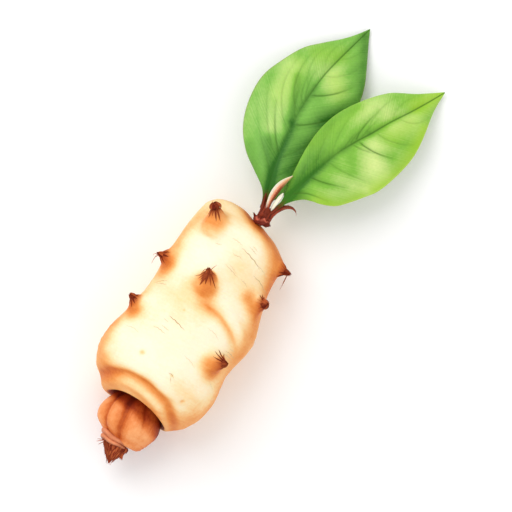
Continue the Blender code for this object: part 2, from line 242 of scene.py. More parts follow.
def addStrand(bm, points, widths, depths, faceUp, shade=0.0, sides=8):
    # a closed tapering strand: at each point a ring with this half-width and half-depth
    points = [Vector(p) for p in points]
    turns = [wholeTurn * n / sides for n in range(sides)]
    rings = []
    for k, centre in enumerate(points):
        ahead = (points[min(k + 1, len(points) - 1)] - points[max(k - 1, 0)]).normalized()
        side = ahead.cross(Vector(faceUp[k] if hasattr(faceUp[0], "__len__") else faceUp)).normalized()
        rise = side.cross(ahead).normalized()
        places = [centre + side * math.cos(turn) * widths[k] + rise * math.sin(turn) * depths[k]
                  for turn in turns]
        rings.append(addRing(bm, places, [shade] * sides))
    bridgeRings(bm, rings)
    for end in (rings[0], rings[-1]):
        bmesh.ops.edgeloop_fill(bm, edges=end)


def taper(count, start, end, power=1.0):
    return [start + (end - start) * (k / (count - 1)) ** power for k in range(count)]


def addHair(bm, points, radius, shade, count):  # a thin fibre along a smooth path
    sizes = taper(count, radius, radius * 0.25, 1.3)
    addStrand(bm, evenPath([list(p) for p in points], count), sizes, sizes, up + 0.3 * right, shade, sides=5)


def turnedSkin(profile, steps):  # a closed skin spun about the Y axis, from (y, radius) points
    bm = bmesh.new()
    verts = [bm.verts.new((radius * mm, y * mm, 0)) for y, radius in profile]
    edges = [bm.edges.new(pair) for pair in zip(verts, verts[1:])]
    bmesh.ops.spin(bm, geom=verts + edges, cent=(0, 0, 0), axis=(0, 1, 0), dvec=(0, 0, 0),
                   angle=wholeTurn, steps=steps, use_merge=True)
    bmesh.ops.remove_doubles(bm, verts=bm.verts, dist=1e-7)
    bmesh.ops.recalc_face_normals(bm, faces=bm.faces)
    return bm


def gingerSkin(stops, stubColour, hollowShadeColour):
    # thin moist skin of fresh ginger: cream where it is plump, orange partly in its own tone and partly as
    # painted shade on the flanks, in folds, in the hollow under the lip and round buds, soft sheen
    material, tree, shader = newMaterial("freshGingerSkin", 0.5, Specular_IOR_Level=0.22,
                                         Subsurface_Weight=0.1, Subsurface_Scale=0.002,
                                         Subsurface_Radius=(1.0, 0.55, 0.25))
    warmthAndShade, stub, hollowShade = [addNode(tree, "Attribute", output="Fac", attribute_name=name)
                            for name in ("warmthAndShade", "stub", "hollowShade")]
    place = addNode(tree, "TexCoord", output="Object")
    stretch = addNode(tree, "Mapping", {"Vector": place, "Scale": (160.0, 1500.0, 160.0)})
    # blotches about 11 mm wide, grain about 1 mm, and fine wrinkles that run round the root
    clouds = addNode(tree, "TexNoise", {"Vector": place, "Scale": 90.0, "Detail": 4.0, "Roughness": 0.6})
    grain = addNode(tree, "TexNoise", {"Vector": place, "Scale": 900.0, "Detail": 3.0, "Roughness": 0.55})
    rings = addNode(tree, "TexNoise", {"Vector": stretch, "Scale": 1.0, "Detail": 3.0, "Roughness": 0.5})
    warm = swing(tree, warmthAndShade, (clouds, 0.30), (grain, 0.14), (rings, 0.10))
    colour = addNode(tree, "ValToRGB", {"Fac": warm}, stops=stops)
    # the stub colour is the buds' own; the hollow colour is painted shade on the skin under the lip
    for share, code in ((stub, stubColour), (hollowShade, hollowShadeColour)):
        colour = addNode(tree, "Mix", {0: share, 6: colour, 7: fromHex(code)}, 2, data_type="RGBA")
    relief = addNode(tree, "Math", {0: rings, 1: 0.6, 2: grain}, operation="MULTIPLY_ADD")
    bump = addNode(tree, "Bump", {"Height": relief, "Strength": 0.2, "Distance": 0.0004})
    gloss = addNode(tree, "MapRange", {"Value": clouds, "To Min": 0.42, "To Max": 0.62})
    for source, socket in ((colour, "Base Color"), (bump, "Normal"), (gloss, "Roughness")):
        tree.links.new(source, shader.inputs[socket])
    return material


def shadedFibre(name, dark, light, roughness, grainScale, stretchTo=(1.0, 1.0, 1.0), bumpBy=0.4):
    # dry plant fibre: each strand has its own shade between two colours, with a fine streak in it
    material, tree, shader = newMaterial(name, roughness, Specular_IOR_Level=0.2)
    shade = addNode(tree, "Attribute", output="Fac", attribute_name="shade")
    place = addNode(tree, "TexCoord", output="Object")
    turn = addNode(tree, "Mapping", {"Vector": place, "Scale": stretchTo})
    grain = addNode(tree, "TexNoise", {"Vector": turn, "Scale": grainScale, "Detail": 3.0, "Roughness": 0.6})
    share = swing(tree, shade, (grain, 0.5))
    colour = addNode(tree, "Mix", {0: share, 6: fromHex(dark), 7: fromHex(light)}, 2, data_type="RGBA")
    bump = addNode(tree, "Bump", {"Height": grain, "Strength": bumpBy, "Distance": 0.0002})
    tree.links.new(colour, shader.inputs["Base Color"])
    tree.links.new(bump, shader.inputs["Normal"])
    return material


def corkSkin(stops):  # thin cork of the older end: brown-orange, with painted shade in the furrows, under the lip, underneath, on the right and towards the end, and pale crowns
    material, tree, shader = newMaterial("gingerCork", 0.5, Specular_IOR_Level=0.2)
    paintedCorkShade = addNode(tree, "Attribute", output="Fac", attribute_name="paintedCorkShade")
    place = addNode(tree, "TexCoord", output="Object")
    stretch = addNode(tree, "Mapping", {"Vector": place, "Scale": (1300.0, 260.0, 1300.0)})
    # mottling about 4 mm wide, and fibres that run from neck to tip
    clouds = addNode(tree, "TexNoise", {"Vector": place, "Scale": 260.0, "Detail": 4.0, "Roughness": 0.65})
    streaks = addNode(tree, "TexNoise", {"Vector": stretch, "Scale": 1.0, "Detail": 3.0, "Roughness": 0.6})
    depth = swing(tree, paintedCorkShade, (clouds, 0.5), (streaks, 0.22))
    colour = addNode(tree, "ValToRGB", {"Fac": depth}, stops=stops)
    bump = addNode(tree, "Bump", {"Height": streaks, "Strength": 0.3, "Distance": 0.0003})
    tree.links.new(colour, shader.inputs["Base Color"])
    tree.links.new(bump, shader.inputs["Normal"])
    return material


def leafSkin(name, dark, middle, light, edgeColour, veinColour):
    # waxy leaf: satin green, with painted light where the blade swells and painted shade in broad stretches,
    # and sunken darker veins
    material, tree, shader = newMaterial(name, 0.42, Specular_IOR_Level=0.18, Subsurface_Weight=0.1,
                                         Subsurface_Scale=0.001, Subsurface_Radius=(0.4, 1.0, 0.15))
    glow, lime, rim, vein, stalk, feather = [addNode(tree, "Attribute", output="Fac", attribute_name=name)
                                             for name in ("glow", "lime", "rim", "vein", "stalk", "feather")]
    place = addNode(tree, "Attribute", output="Vector", attribute_name="leafPlace")
    # the small vein net of about 1 mm, blotches about 9 mm wide, and fine side veins under 1 mm apart
    net = addNode(tree, "TexNoise", {"Vector": place, "Scale": 900.0, "Detail": 4.0, "Roughness": 0.65})
    clouds = addNode(tree, "TexNoise", {"Vector": place, "Scale": 110.0, "Detail": 3.0, "Roughness": 0.5})
    threads = addNode(tree, "TexNoise", {"W": feather, "Scale": 1700.0, "Detail": 1.5}, noise_dimensions="1D")
    total = swing(tree, glow, (clouds, 0.16), (net, 0.2), (threads, 0.16))
    colour = addNode(tree, "ValToRGB", {"Fac": total}, stops=[(0.0, dark), (1.0, light), (0.48, middle)])
    for share, code in ((lime, "#a8d030"), (rim, edgeColour), (vein, veinColour), (stalk, "#6a2210")):
        colour = addNode(tree, "Mix", {0: share, 6: colour, 7: fromHex(code)}, 2, data_type="RGBA")
    relief = addNode(tree, "Math", {0: threads, 1: 0.4, 2: net}, operation="MULTIPLY_ADD")
    bump = addNode(tree, "Bump", {"Height": relief, "Strength": 0.2, "Distance": 0.0002})
    tree.links.new(colour, shader.inputs["Base Color"])
    tree.links.new(bump, shader.inputs["Normal"])
    return material


def bractSkin(stops, footColour, tipColour):
    # thin pale bract: cream left edge, pink middle, brown right margin, maroon foot, satin
    material, tree, shader = newMaterial("paleBract", 0.5, Specular_IOR_Level=0.3, Subsurface_Weight=0.1,
                                         Subsurface_Scale=0.001)
    across, share = [addNode(tree, "Attribute", output="Fac", attribute_name=name)
                     for name in ("across", "share")]
    place = addNode(tree, "TexCoord", output="Object")
    streaks = addNode(tree, "TexNoise", {"Vector": place, "Scale": 1400.0, "Detail": 2.0})
    middle = addNode(tree, "Math", {0: across, 1: 0.5, 2: 0.5}, operation="MULTIPLY_ADD")
    colour = addNode(tree, "ValToRGB", {"Fac": swing(tree, middle, (streaks, 0.2))}, stops=stops)
    foot = addNode(tree, "MapRange", {"Value": share, "From Min": 0.2, "From Max": 0.0})
    tip = addNode(tree, "MapRange", {"Value": share, "From Min": 0.6, "From Max": 1.0, "To Max": 0.6})
    for part, code in ((foot, footColour), (tip, tipColour)):
        colour = addNode(tree, "Mix", {0: part, 6: colour, 7: fromHex(code)}, 2, data_type="RGBA")
    tree.links.new(colour, shader.inputs["Base Color"])
    return material


bodyLook = {
    "voxel": 0.5, "softenRounds": 12, "filletRounds": 320,  # grain of the mesh and how far it is relaxed
    "axisHeight": 21,  # of the line through the middle of the root
    "lumps": [(19, 3.1, 0.45), (7.5, 8.4, 0.14)],  # (how wide, seed, how high)
    "rings": 0.07, "ringSpacing": 3.4,  # the low rings round the root
    "grooveDepth": 1.0, "grooveWidth": 1.7, "shoulder": 0.45, "creaseDepth": 0.8, "pitDepth": 0.4,
    "stubReach": (0.7, 4.0),  # how far round a bud the skin is drawn out with it
    # how much warmer the colour is there, partly the skin's own tone and partly painted shade; a fold has a
    # narrow and a wide stretch, and so has the crown
    "warmer": {"base": 0.07, "flankShade": 0.36, "lip": 0.10, "patch": 0.10, "pit": 0.34, "groove": (0.50, 0.20),
               "crease": (0.30, 0.12), "wash": 1.15, "bud": 0.40, "stub": 0.50, "crown": (0.50, 0.35)},
    "stops": [
        (0.0, "#fff6dc"), (1.0, "#b04c14"), (0.16, "#ffefcd"), (0.34, "#fddba3"), (0.52, "#f8b873"),
        (0.7, "#eb9346"), (0.85, "#d66f29")],
    # the hollow colour is painted shade under the lip
    "stub": "#b04a1c", "hollowShade": "#a8401a",
    # the fold above the lip: (degrees round the root, y)
    "groove": [
        (-8, -41.5), (20, -39.6), (45, -36.2), (62, -33.0), (80, -31.2), (97, -29.6), (118, -29.6),
        (140, -31.4), (158, -33.4), (180, -35.4), (215, -37.2), (250, -38.2), (285, -38.8), (325, -40.5),
        (352, -41.5)],
    # the crease below the centre bud: (x, y)
    "crease": [(0.5, 9.5), (6.1, 8.9), (10.8, 8.2), (14.5, 6.6), (18.4, 4.2), (22.2, 0.4), (24.4, -3.5)],
    # sunk spots: (x, y, size)
    "pits": [(-9.3, -19.2, 1.0), (14.0, -29.2, 0.7), (-2.5, 3.5, 0.4), (5.6, -21.9, 0.6)],
    # deeper coloured stretches of skin, partly its own tone and partly painted shade between the bulges,
    # beside the buds and on the right flank: (x, y) path, width and strength
    "toneAndShadeWashes": [
        ([(6, 48.5), (13, 45), (19, 40.5), (23.5, 35)], 6.5, 0.44),
        ([(24, 38), (25, 30), (24, 24)], 6.0, 0.3), ([(26, 15), (26, 9), (26, 3), (25, -3)], 6.5, 0.26),
        ([(18.2, 19.4), (21, 17.8), (24, 17)], 3.4, 0.46),
        ([(3, 8.0), (8, 7.4), (12, 6.6), (16, 4.6), (19, 1.6)], 3.6, 0.08),
        ([(17.6, -10.5), (19.6, -12.8)], 4.6, 0.58), ([(26, -13), (26.5, -20), (25, -27)], 6.0, 0.14),
        ([(10, -24), (18, -28.5), (20, -34)], 4.5, 0.14),
        ([(-25.5, -18), (-24.5, -27), (-19, -31.5)], 6.0, 0.4), ([(9, 28), (13, 21)], 8.0, 0.15),
        ([(-19, -35.5), (-10, -33.5), (0, -35.6), (8, -39.5)], 3.2, 0.2),
        ([(-22.5, -3.6), (-20, -6)], 3.4, 0.56), ([(-22, 11), (-14, 6.5), (-5, 5.6), (4, 4)], 6.5, 0.09),
        ([(-19.5, 17.8), (-17, 17)], 3.4, 0.52),
        ([(-12, 44), (-16, 34), (-17.5, 25), (-17, 14)], 4.8, 0.24),
        ([(-11.2, 40.2), (-6.8, 41.2)], 3.6, 0.42), ([(-7.6, 37), (-7.6, 37)], 4.0, 0.16),
        ([(0.2, 18.2), (1.8, 14.8)], 4.2, 0.54), ([(2.6, 12), (3.4, 10)], 4.0, 0.16),
        ([(-23, 0), (-24.5, -12)], 4.5, 0.2), ([(-7, 14), (-5, 1)], 4.5, 0.07)],
}


def skinPoint(tree, x, y):  # straight down onto the upper side, or the nearest skin past the outline
    hit = tree.ray_cast(Vector((x * mm, y * mm, rayHeight)), -up)[0]
    return np.array(hit or tree.find_nearest(Vector((x * mm, y * mm, 0.024)))[0])


def ringPoint(tree, degrees, y):
    out = around(right, up, math.radians(degrees))
    centre = Vector((0, y * mm, bodyLook["axisHeight"] * mm))
    return np.array(tree.ray_cast(centre + out * rayHeight, -out)[0])


def grooveOn(tree):
    return evenPath([ringPoint(tree, *p) for p in bodyLook["groove"]], 90)


def budAxis(name, tree):  # where a bud's scales start and which way they point, from its CAD solid
    co = readRows(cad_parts["bud_scale_" + name].data.vertices, "co")
    gap = np.array([tree.find_nearest(Vector(p))[3] for p in co])
    tip = Vector(co[gap.argmax()])
    foot = Vector(co[gap < gap.min() + 0.35 * mm].mean(axis=0))
    shift = Vector((*budLooks[name]["shift"], 0)) * mm
    return foot + shift * 0.8, (tip + shift * 1.2 - foot).normalized()


def relaxBody(piece, axes, groove, crown):  # a fillet where each mound grows out, and round the fold
    co = readRows(piece.data.vertices, "co")
    toGroove, place = nearPath(co, groove)
    above = co[:, 1] > np.interp(place, np.linspace(0, 1, len(groove)), groove[:, 1])
    near, far = np.where(above, 4.5 * mm, 2.0 * mm), np.where(above, 8 * mm, 5.0 * mm)
    weight = 1 - smoothStep(near, far, toGroove)
    weight = np.maximum(weight, 0.35 * smoothStep(-33 * mm, -36 * mm, co[:, 1]))
    for foot, direction in axes.values():
        reach = np.linalg.norm(co - np.array(foot - direction * 4.0 * mm), axis=1)
        collar = smoothStep(3.2 * mm, 5.2 * mm, reach) * (1 - smoothStep(11 * mm, 15 * mm, reach))
        weight = np.maximum(weight, collar)
    weight = np.maximum(weight, 1 - smoothStep(5 * mm, 9 * mm, np.linalg.norm(co - crown, axis=1)))
    group = piece.vertex_groups.new(name="fillet")
    for step in range(1, 11):
        group.add(np.flatnonzero(np.ceil(weight * 10) == step).tolist(), step / 10, "REPLACE")
    addModifier(piece, "SMOOTH", factor=0.5, iterations=bodyLook["filletRounds"], vertex_group="fillet")
    return settle(piece)


def underLip(co, facing):  # 1 on the skin of the hollow that faces the end knob, 0 outside
    lo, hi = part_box("end_knob")
    toKnob = np.array([(lo.x + hi.x) / 2, 0, (lo.z + hi.z) / 2]) - co * [1, 0, 1]
    inward = (facing * toKnob).sum(axis=1) / np.linalg.norm(toKnob, axis=1)
    near = np.hypot(toKnob[:, 0] / (hi.x - lo.x), toKnob[:, 2] / (hi.z - lo.z)) * 2  # 1 on the knob's skin
    facingKnob = smoothStep(0.0, 0.5, inward) * (1 - smoothStep(1.25, 1.5, near))
    return facingKnob * smoothStep(-27 * mm, -31 * mm, co[:, 1])


def makeRhizome():
    look = bodyLook
    piece = newPiece("rhizomeBody", mergedCopy("rhizome"))
    addModifier(piece, "REMESH", mode="VOXEL", voxel_size=look["voxel"] * mm)
    addModifier(piece, "SMOOTH", factor=0.5, iterations=look["softenRounds"])
    tree = treeOf(settle(piece))
    axes = {name: budAxis(name, tree) for name in budLooks}
    crown = np.array(middleOf("shoot_collar"))
    mesh = relaxBody(piece, axes, grooveOn(tree), crown)
    co, facing = readRows(mesh.vertices, "co"), readRows(mesh.vertex_normals, "vector")
    tree = treeOf(mesh)
    toGroove, _ = nearPath(co, grooveOn(tree))
    toCrease, alongCrease = nearPath(co, evenPath([skinPoint(tree, *p) for p in look["crease"]], 30))
    inside = underLip(co, facing)
    outer = 1 - inside
    lipShare = smoothStep(-30 * mm, -37 * mm, co[:, 1])
    faceUp = smoothStep(-0.1, 0.6, facing[:, 2])
    creaseEnd = 1 - smoothStep(0.6, 1, alongCrease)

    # lumps, rings, the groove and the crease with their shoulders, and pits
    push = sum(noiseAt(co, size * mm, seed) * height * mm for size, seed, height in look["lumps"])
    ringPhase = (co[:, 1] + 1.6 * mm * noiseAt(co, 14 * mm, 5.2)) / (look["ringSpacing"] * mm)
    patches = smoothStep(-0.1, 0.5, noiseAt(co, 11 * mm, 1.7))
    push += look["rings"] * mm * np.sin(wholeTurn * ringPhase) * patches
    push -= look["grooveDepth"] * mm * bell(toGroove, look["grooveWidth"] * mm) * outer * faceUp
    push += look["shoulder"] * mm * bell(toGroove - 4.2 * mm, 2.0 * mm) * outer
    fade = smoothStep(0, 0.25, alongCrease) * creaseEnd
    push -= look["creaseDepth"] * mm * bell(toCrease, 1.7 * mm) * fade
    push += 0.6 * mm * bell(toCrease - 4.2 * mm, 2.4 * mm) * fade
    spot = np.zeros(len(co))
    for x, y, size in look["pits"]:
        gap = np.linalg.norm(co - skinPoint(tree, x, y), axis=1)
        push -= look["pitDepth"] * mm * bell(gap, 1.0 * size * mm)
        spot = np.maximum(spot, size * bell(gap, 1.2 * size * mm))
    co += facing * push[:, None]

    # the skin sinks in under the shoot and is drawn out to a fluted stub under each bud's scales
    middle, growing = shootAxis()
    _, axial, radial = alongAxis(co, middle, growing)
    sinking = (1 - smoothStep(3 * mm, 9 * mm, radial)) * smoothStep(-8 * mm, -4 * mm, axial)
    co -= np.array(growing) * (1.0 * mm * sinking)[:, None]
    stub = np.zeros(len(co))
    for name, (foot, direction) in axes.items():
        rel, axial, radial = alongAxis(co, foot, direction)
        near, far = look["stubReach"]
        pull = (1 - smoothStep(near * mm, far * mm, radial)) * smoothStep(-7 * mm, -2.5 * mm, axial)
        co += np.array(direction) * (pull * budLooks[name]["horn"] * mm)[:, None]
        flute = np.sin(9 * np.arctan2(rel[:, 0], rel[:, 1])) * pull * (1 - pull)
        co += facing * (0.25 * mm * flute)[:, None]
        stub = np.maximum(stub, pull)
    co[:, 2] = np.maximum(co[:, 2], 0)
    setPlaces(mesh, co)

    # how warm the skin's colour is: flanks, folds, spots, stretches, round the buds and round the shoot;
    # partly the skin's own tone, partly painted shade where light falls less
    facing = readRows(mesh.vertex_normals, "vector")
    warmer = look["warmer"]
    # painted shade on the flanks: warmer where the skin faces sideways, most where it faces right and towards
    # the knob, away from the key lamp
    lean = 0.95 + 0.45 * np.clip(facing @ np.array((0.62, -0.25, 0.0)), -0.6, 1)
    warmthAndShade = warmer["base"] + warmer["flankShade"] * smoothStep(0.97, 0.1, facing[:, 2]) * lean
    # painted shade in the fold above the lip and in the crease below the centre bud
    inner, wide = warmer["groove"]
    fold = inner * bell(toGroove, 1.7 * mm) + wide * bell(toGroove, 4.2 * mm)
    warmthAndShade += fold * outer * (0.45 + 0.55 * faceUp)
    inner, wide = warmer["crease"]
    fold = inner * bell(toCrease, 0.9 * mm) + wide * bell(toCrease, 3.4 * mm)
    warmthAndShade += fold * smoothStep(0, 0.2, alongCrease) * creaseEnd + warmer["pit"] * spot
    warmthAndShade += warmer["patch"] * noiseAt(co, 15 * mm, 12.3) + warmer["lip"] * lipShare
    # stretches painted deeper orange: partly the skin's own tone, partly painted shade
    for path, width, strength in look["toneAndShadeWashes"]:
        gap, _ = nearPath(co, np.array([skinPoint(tree, *p) for p in evenPath(path, 16)]))
        warmthAndShade += warmer["wash"] * strength * bell(gap, width * mm)
    # painted shade on the knob side of each bud's mound, less on the side that faces the light
    litSide = smoothStep(0.25, 0.95, (facing @ np.array(along)) + 0.3 * facing[:, 2])
    for name, (foot, direction) in axes.items():
        gap = np.linalg.norm(co - np.array(foot - direction * 2.6 * mm - along * 2.2 * mm), axis=1)
        warmthAndShade += warmer["bud"] * bell(gap, 4.4 * mm) * (1 - 0.9 * litSide) * budLooks[name]["glow"]
    # painted shade round the shoot's foot, where the skin sinks in; the stub colour is the buds' own
    toCrown = np.linalg.norm(co - crown, axis=1)
    wide, inner = warmer["crown"]
    warmthAndShade += warmer["stub"] * stub + wide * bell(toCrown, 7.5 * mm) + inner * bell(toCrown, 5.2 * mm)
    warmest = 0.92  # the deepest folds stay orange
    # the stored warmth mixes the skin's own tone with painted shade
    addField(mesh, "warmthAndShade", warmest * np.tanh(1.15 * warmthAndShade / warmest))
    # painted shade on the hollow's skin under the lip
    addField(mesh, "hollowShade", inside)
    addField(mesh, "stub", stub)
    skin = gingerSkin(look["stops"], look["stub"], look["hollowShade"])
    return finishPiece(piece, [skin], "rhizome_skin", "rhizome"), axes


# torn rings of old scale leaves on the skin: (x, y) points, half-width and how dark
markLook = {
    "skin": ("oldScaleRing", "#f8e2b8", "#bd9860", 0.7, 1200.0),  # papery tan edges, dull
    "marks": [
        ([(6.4, 35.9), (9.0, 35.2), (10.9, 34.5), (14.0, 33.2), (16.4, 31.6)], 0.17, 0.75),
        ([(8.7, 37.7), (10.5, 37.2), (12.7, 36.2)], 0.12, 0.4),
        ([(9.7, 38.6), (11.3, 38.1), (12.6, 37.4)], 0.1, 0.35),
        ([(3.7, 32.6), (5.3, 32.1), (7.1, 32.4), (8.8, 31.6)], 0.12, 0.35),
        ([(3.5, 27.1), (5.6, 26.5), (7.7, 25.7), (10.7, 24.6)], 0.15, 0.35),
        ([(4.6, 27.9), (7.6, 26.8), (9.2, 25.6)], 0.11, 0.3),
        ([(11.6, 24.7), (14.0, 24.0), (15.4, 23.0)], 0.12, 0.45),
        ([(15.4, 28.3), (19.2, 27.1), (21.6, 25.4), (23.6, 24.2)], 0.15, 0.6),
        ([(14.6, 33.0), (18.3, 31.5), (20.4, 30.0)], 0.1, 0.35),
        ([(-4.2, 32.7), (-1.2, 33.2)], 0.11, 0.25), ([(1.1, 37.7), (4.0, 37.4), (6.2, 36.8)], 0.11, 0.3),
        ([(-6.9, -1.5), (-4.5, -1.8), (-1.6, -2.6), (1.3, -3.7)], 0.17, 0.85),
        ([(-10.7, -8.1), (-8.2, -7.8), (-4.5, -8.6)], 0.13, 0.45),
        ([(-7.6, -6.0), (-3.9, -6.8)], 0.11, 0.4), ([(-8.2, -3.2), (-5.6, -3.9)], 0.1, 0.3),
        ([(-18.2, 7.2), (-16.0, 9.3), (-13.8, 10.4)], 0.14, 0.7),
        ([(-17.2, 7.4), (-15.4, 8.4), (-13.2, 8.9)], 0.12, 0.55),
        ([(-17.8, 9.6), (-15.6, 10.9)], 0.1, 0.5), ([(3.8, -21.6), (5.4, -21.6), (6.6, -22.5)], 0.16, 0.6),
        ([(5.3, -22.6), (6.4, -24.9)], 0.12, 0.4),
        ([(19.5, -3.2), (22.0, -3.6), (24.6, -4.8)], 0.12, 0.55),
        ([(19.0, -4.6), (21.6, -4.8), (24.0, -5.8)], 0.11, 0.5), ([(20.8, -1.8), (23.4, -2.2)], 0.09, 0.4),
        ([(9.0, 1.5), (12.6, 0.8), (15.2, -0.8)], 0.1, 0.25),
        ([(-20.6, -13.0), (-16.8, -12.4), (-14.2, -13.2)], 0.1, 0.25),
        ([(6.0, -12.6), (9.6, -13.6), (12.2, -15.2)], 0.1, 0.22),
        ([(20.0, -17.2), (22.6, -19.6)], 0.11, 0.3)],
}


def makeScaleMarks(skin):  # papery remains of the scale rings, half sunk in the skin
    bm = bmesh.new()
    count = 22
    for line, halfWidth, tone in markLook["marks"]:
        shift = dice.uniform(-1, 1)
        points, normals = [], []
        for k, (x, y) in enumerate(evenPath(line, count)):
            y += 0.12 * math.sin(k * 1.1 + shift)
            normals.append(skin.ray_cast(Vector((x * mm, y * mm, rayHeight)), -up)[1])
            points.append(Vector(skinPoint(skin, x, y)) + normals[-1] * 0.02 * mm)
        wide = [halfWidth * mm * (0.15 + 0.85 * math.sin(math.pi * (k + 0.5) / count)) for k in range(count)]
        addStrand(bm, points, wide, [0.35 * w for w in wide], normals, tone, sides=6)
    finishStrands("oldScaleRings", bm, shadedFibre(*markLook["skin"]), "rhizome_skin")


# shift: of the bud's tip; horn: how far its skin is drawn out; cap, length: of its scales; glow: strength
# of the painted shade round it; fingers: degrees round it (0 towards the knob, 90 right), length, half-width;
# hairs: degrees, reach out, drop
budLooks = {
    "top": {
        "shift": (-1.5, 0.5), "horn": 1.9, "cap": 2.3, "length": 1.3, "glow": 0.62,
        "fingers": [
            (-84, 5.4, 0.4), (-60, 4.6, 0.4), (-30, 3.6, 0.32), (-2, 4.4, 0.5), (28, 3.8, 0.36),
            (56, 5.4, 0.42), (80, 5.8, 0.42), (-150, 2.0, 0.5), (150, 2.0, 0.5)],
        "hairs": [(75, 0.6, -1.6)],
    },
    "left_upper": {
        "shift": (0.9, 0.4), "horn": 1.5, "cap": 1.3, "length": 2.0, "glow": 0.9,
        "fingers": [(-60, 2.6, 0.3), (-20, 2.2, 0.4), (40, 2.6, 0.3), (100, 2.4, 0.4), (150, 2.2, 0.4)],
        "hairs": [(-30, 2.0, -2.8), (-70, 2.4, -1.0), (-50, 1.4, -0.4)],
    },
    "left_lower": {
        "shift": (0.3, -0.4), "horn": 1.0, "cap": 1.35, "length": 1.4, "glow": 1.0,
        "fingers": [
            (-50, 3.0, 0.4), (-10, 2.6, 0.35), (25, 3.4, 0.35), (60, 2.8, 0.4), (100, 2.2, 0.3),
            (150, 1.8, 0.4)],
        "hairs": [(-60, 0.5, -0.6)],
    },
    "centre": {
        "shift": (-0.9, -1.0), "horn": 2.2, "cap": 1.3, "length": 2.1, "glow": 1.0,
        "fingers": [
            (-78, 6.0, 0.24), (-55, 4.6, 0.2), (76, 6.2, 0.28), (50, 4.6, 0.24), (-14, 5.0, 0.75),
            (14, 4.0, 0.55), (-32, 3.8, 0.4), (180, 1.6, 0.5)],
        "hairs": [(140, 2.0, 1.4), (-95, 1.8, -4.2)],
    },
    "right_upper": {
        "shift": (-0.5, -0.2), "horn": 1.2, "cap": 1.9, "length": 1.1, "glow": 0.9,
        "fingers": [
            (110, 3.6, 0.5), (150, 4.6, 0.6), (180, 4.2, 0.55), (-150, 3.8, 0.4), (60, 2.4, 0.4),
            (10, 2.2, 0.3)],
        "hairs": [(60, 0.4, -0.5)],
    },
    "far_right": {
        "shift": (-0.8, 0.6), "horn": 1.7, "cap": 1.3, "length": 2.2, "glow": 0.8,
        "fingers": [
            (60, 3.4, 0.4), (20, 3.0, 0.35), (-20, 3.2, 0.35), (-60, 2.6, 0.3), (120, 3.0, 0.35),
            (170, 2.6, 0.4)],
        "hairs": [(40, 0.6, -6.6), (20, 0.4, -4.2), (90, 0.8, -1.2)],
    },
    "right_lower": {
        "shift": (-0.6, 0.4), "horn": 1.6, "cap": 1.45, "length": 1.4, "glow": 0.85,
        "fingers": [
            (130, 4.0, 0.5), (160, 5.0, 0.45), (-170, 5.8, 0.4), (-145, 5.2, 0.3), (-115, 4.4, 0.24),
            (60, 2.2, 0.5), (20, 1.8, 0.35)],
        "hairs": [],
    },
}
budScales = {
    "skin": ("dryBudScale", "#641604", "#cc6634", 0.85, 1500.0),  # matte dark brown scales with rusty edges
    # (share of the length, share of the cap)
    "core": [(-0.3, 0.85), (0.1, 0.9), (0.45, 0.66), (0.8, 0.36), (1.0, 0.08)],
    "scales": 9, "scaleThick": 0.13, "scaleTaper": (0.1, 0.24, 0.34, 0.36, 0.32, 0.25, 0.15, 0.03),
    "fingerThick": 0.2, "fingerTaper": (0.9, 1.1, 1.1, 1.05, 0.95, 0.85, 0.7, 0.5, 0.3, 0.08),
    "fibres": 22, "fibreLength": (1.4, 3.6), "frays": 10, "hair": 0.16, "fray": 0.1,
}


def budFrame(direction):  # towards the knob and to the side, square to the bud's own direction
    knobward = (-along + direction * direction.dot(along)).normalized()
    return knobward, direction.cross(knobward)


def budPath(skin, foot, direction, horn, turn, length, lift):  # from the tip down the stub, just off its skin
    out = around(*budFrame(direction), turn)
    path, normals = [], []
    for share in np.linspace(0, 1, 10):
        run = share * length
        guess = foot + direction * (horn + 0.2 * mm - run * 0.95) + out * (0.7 * mm + 0.8 * run)
        place, normal, _, _ = skin.find_nearest(guess)
        tipLift = (1 - smoothStep(0, 0.35, share)) * 0.5 * mm
        path.append(place + normal * lift + direction * tipLift)
        normals.append((normal + direction * 0.4 * (1 - share)).normalized())
    return path, normals


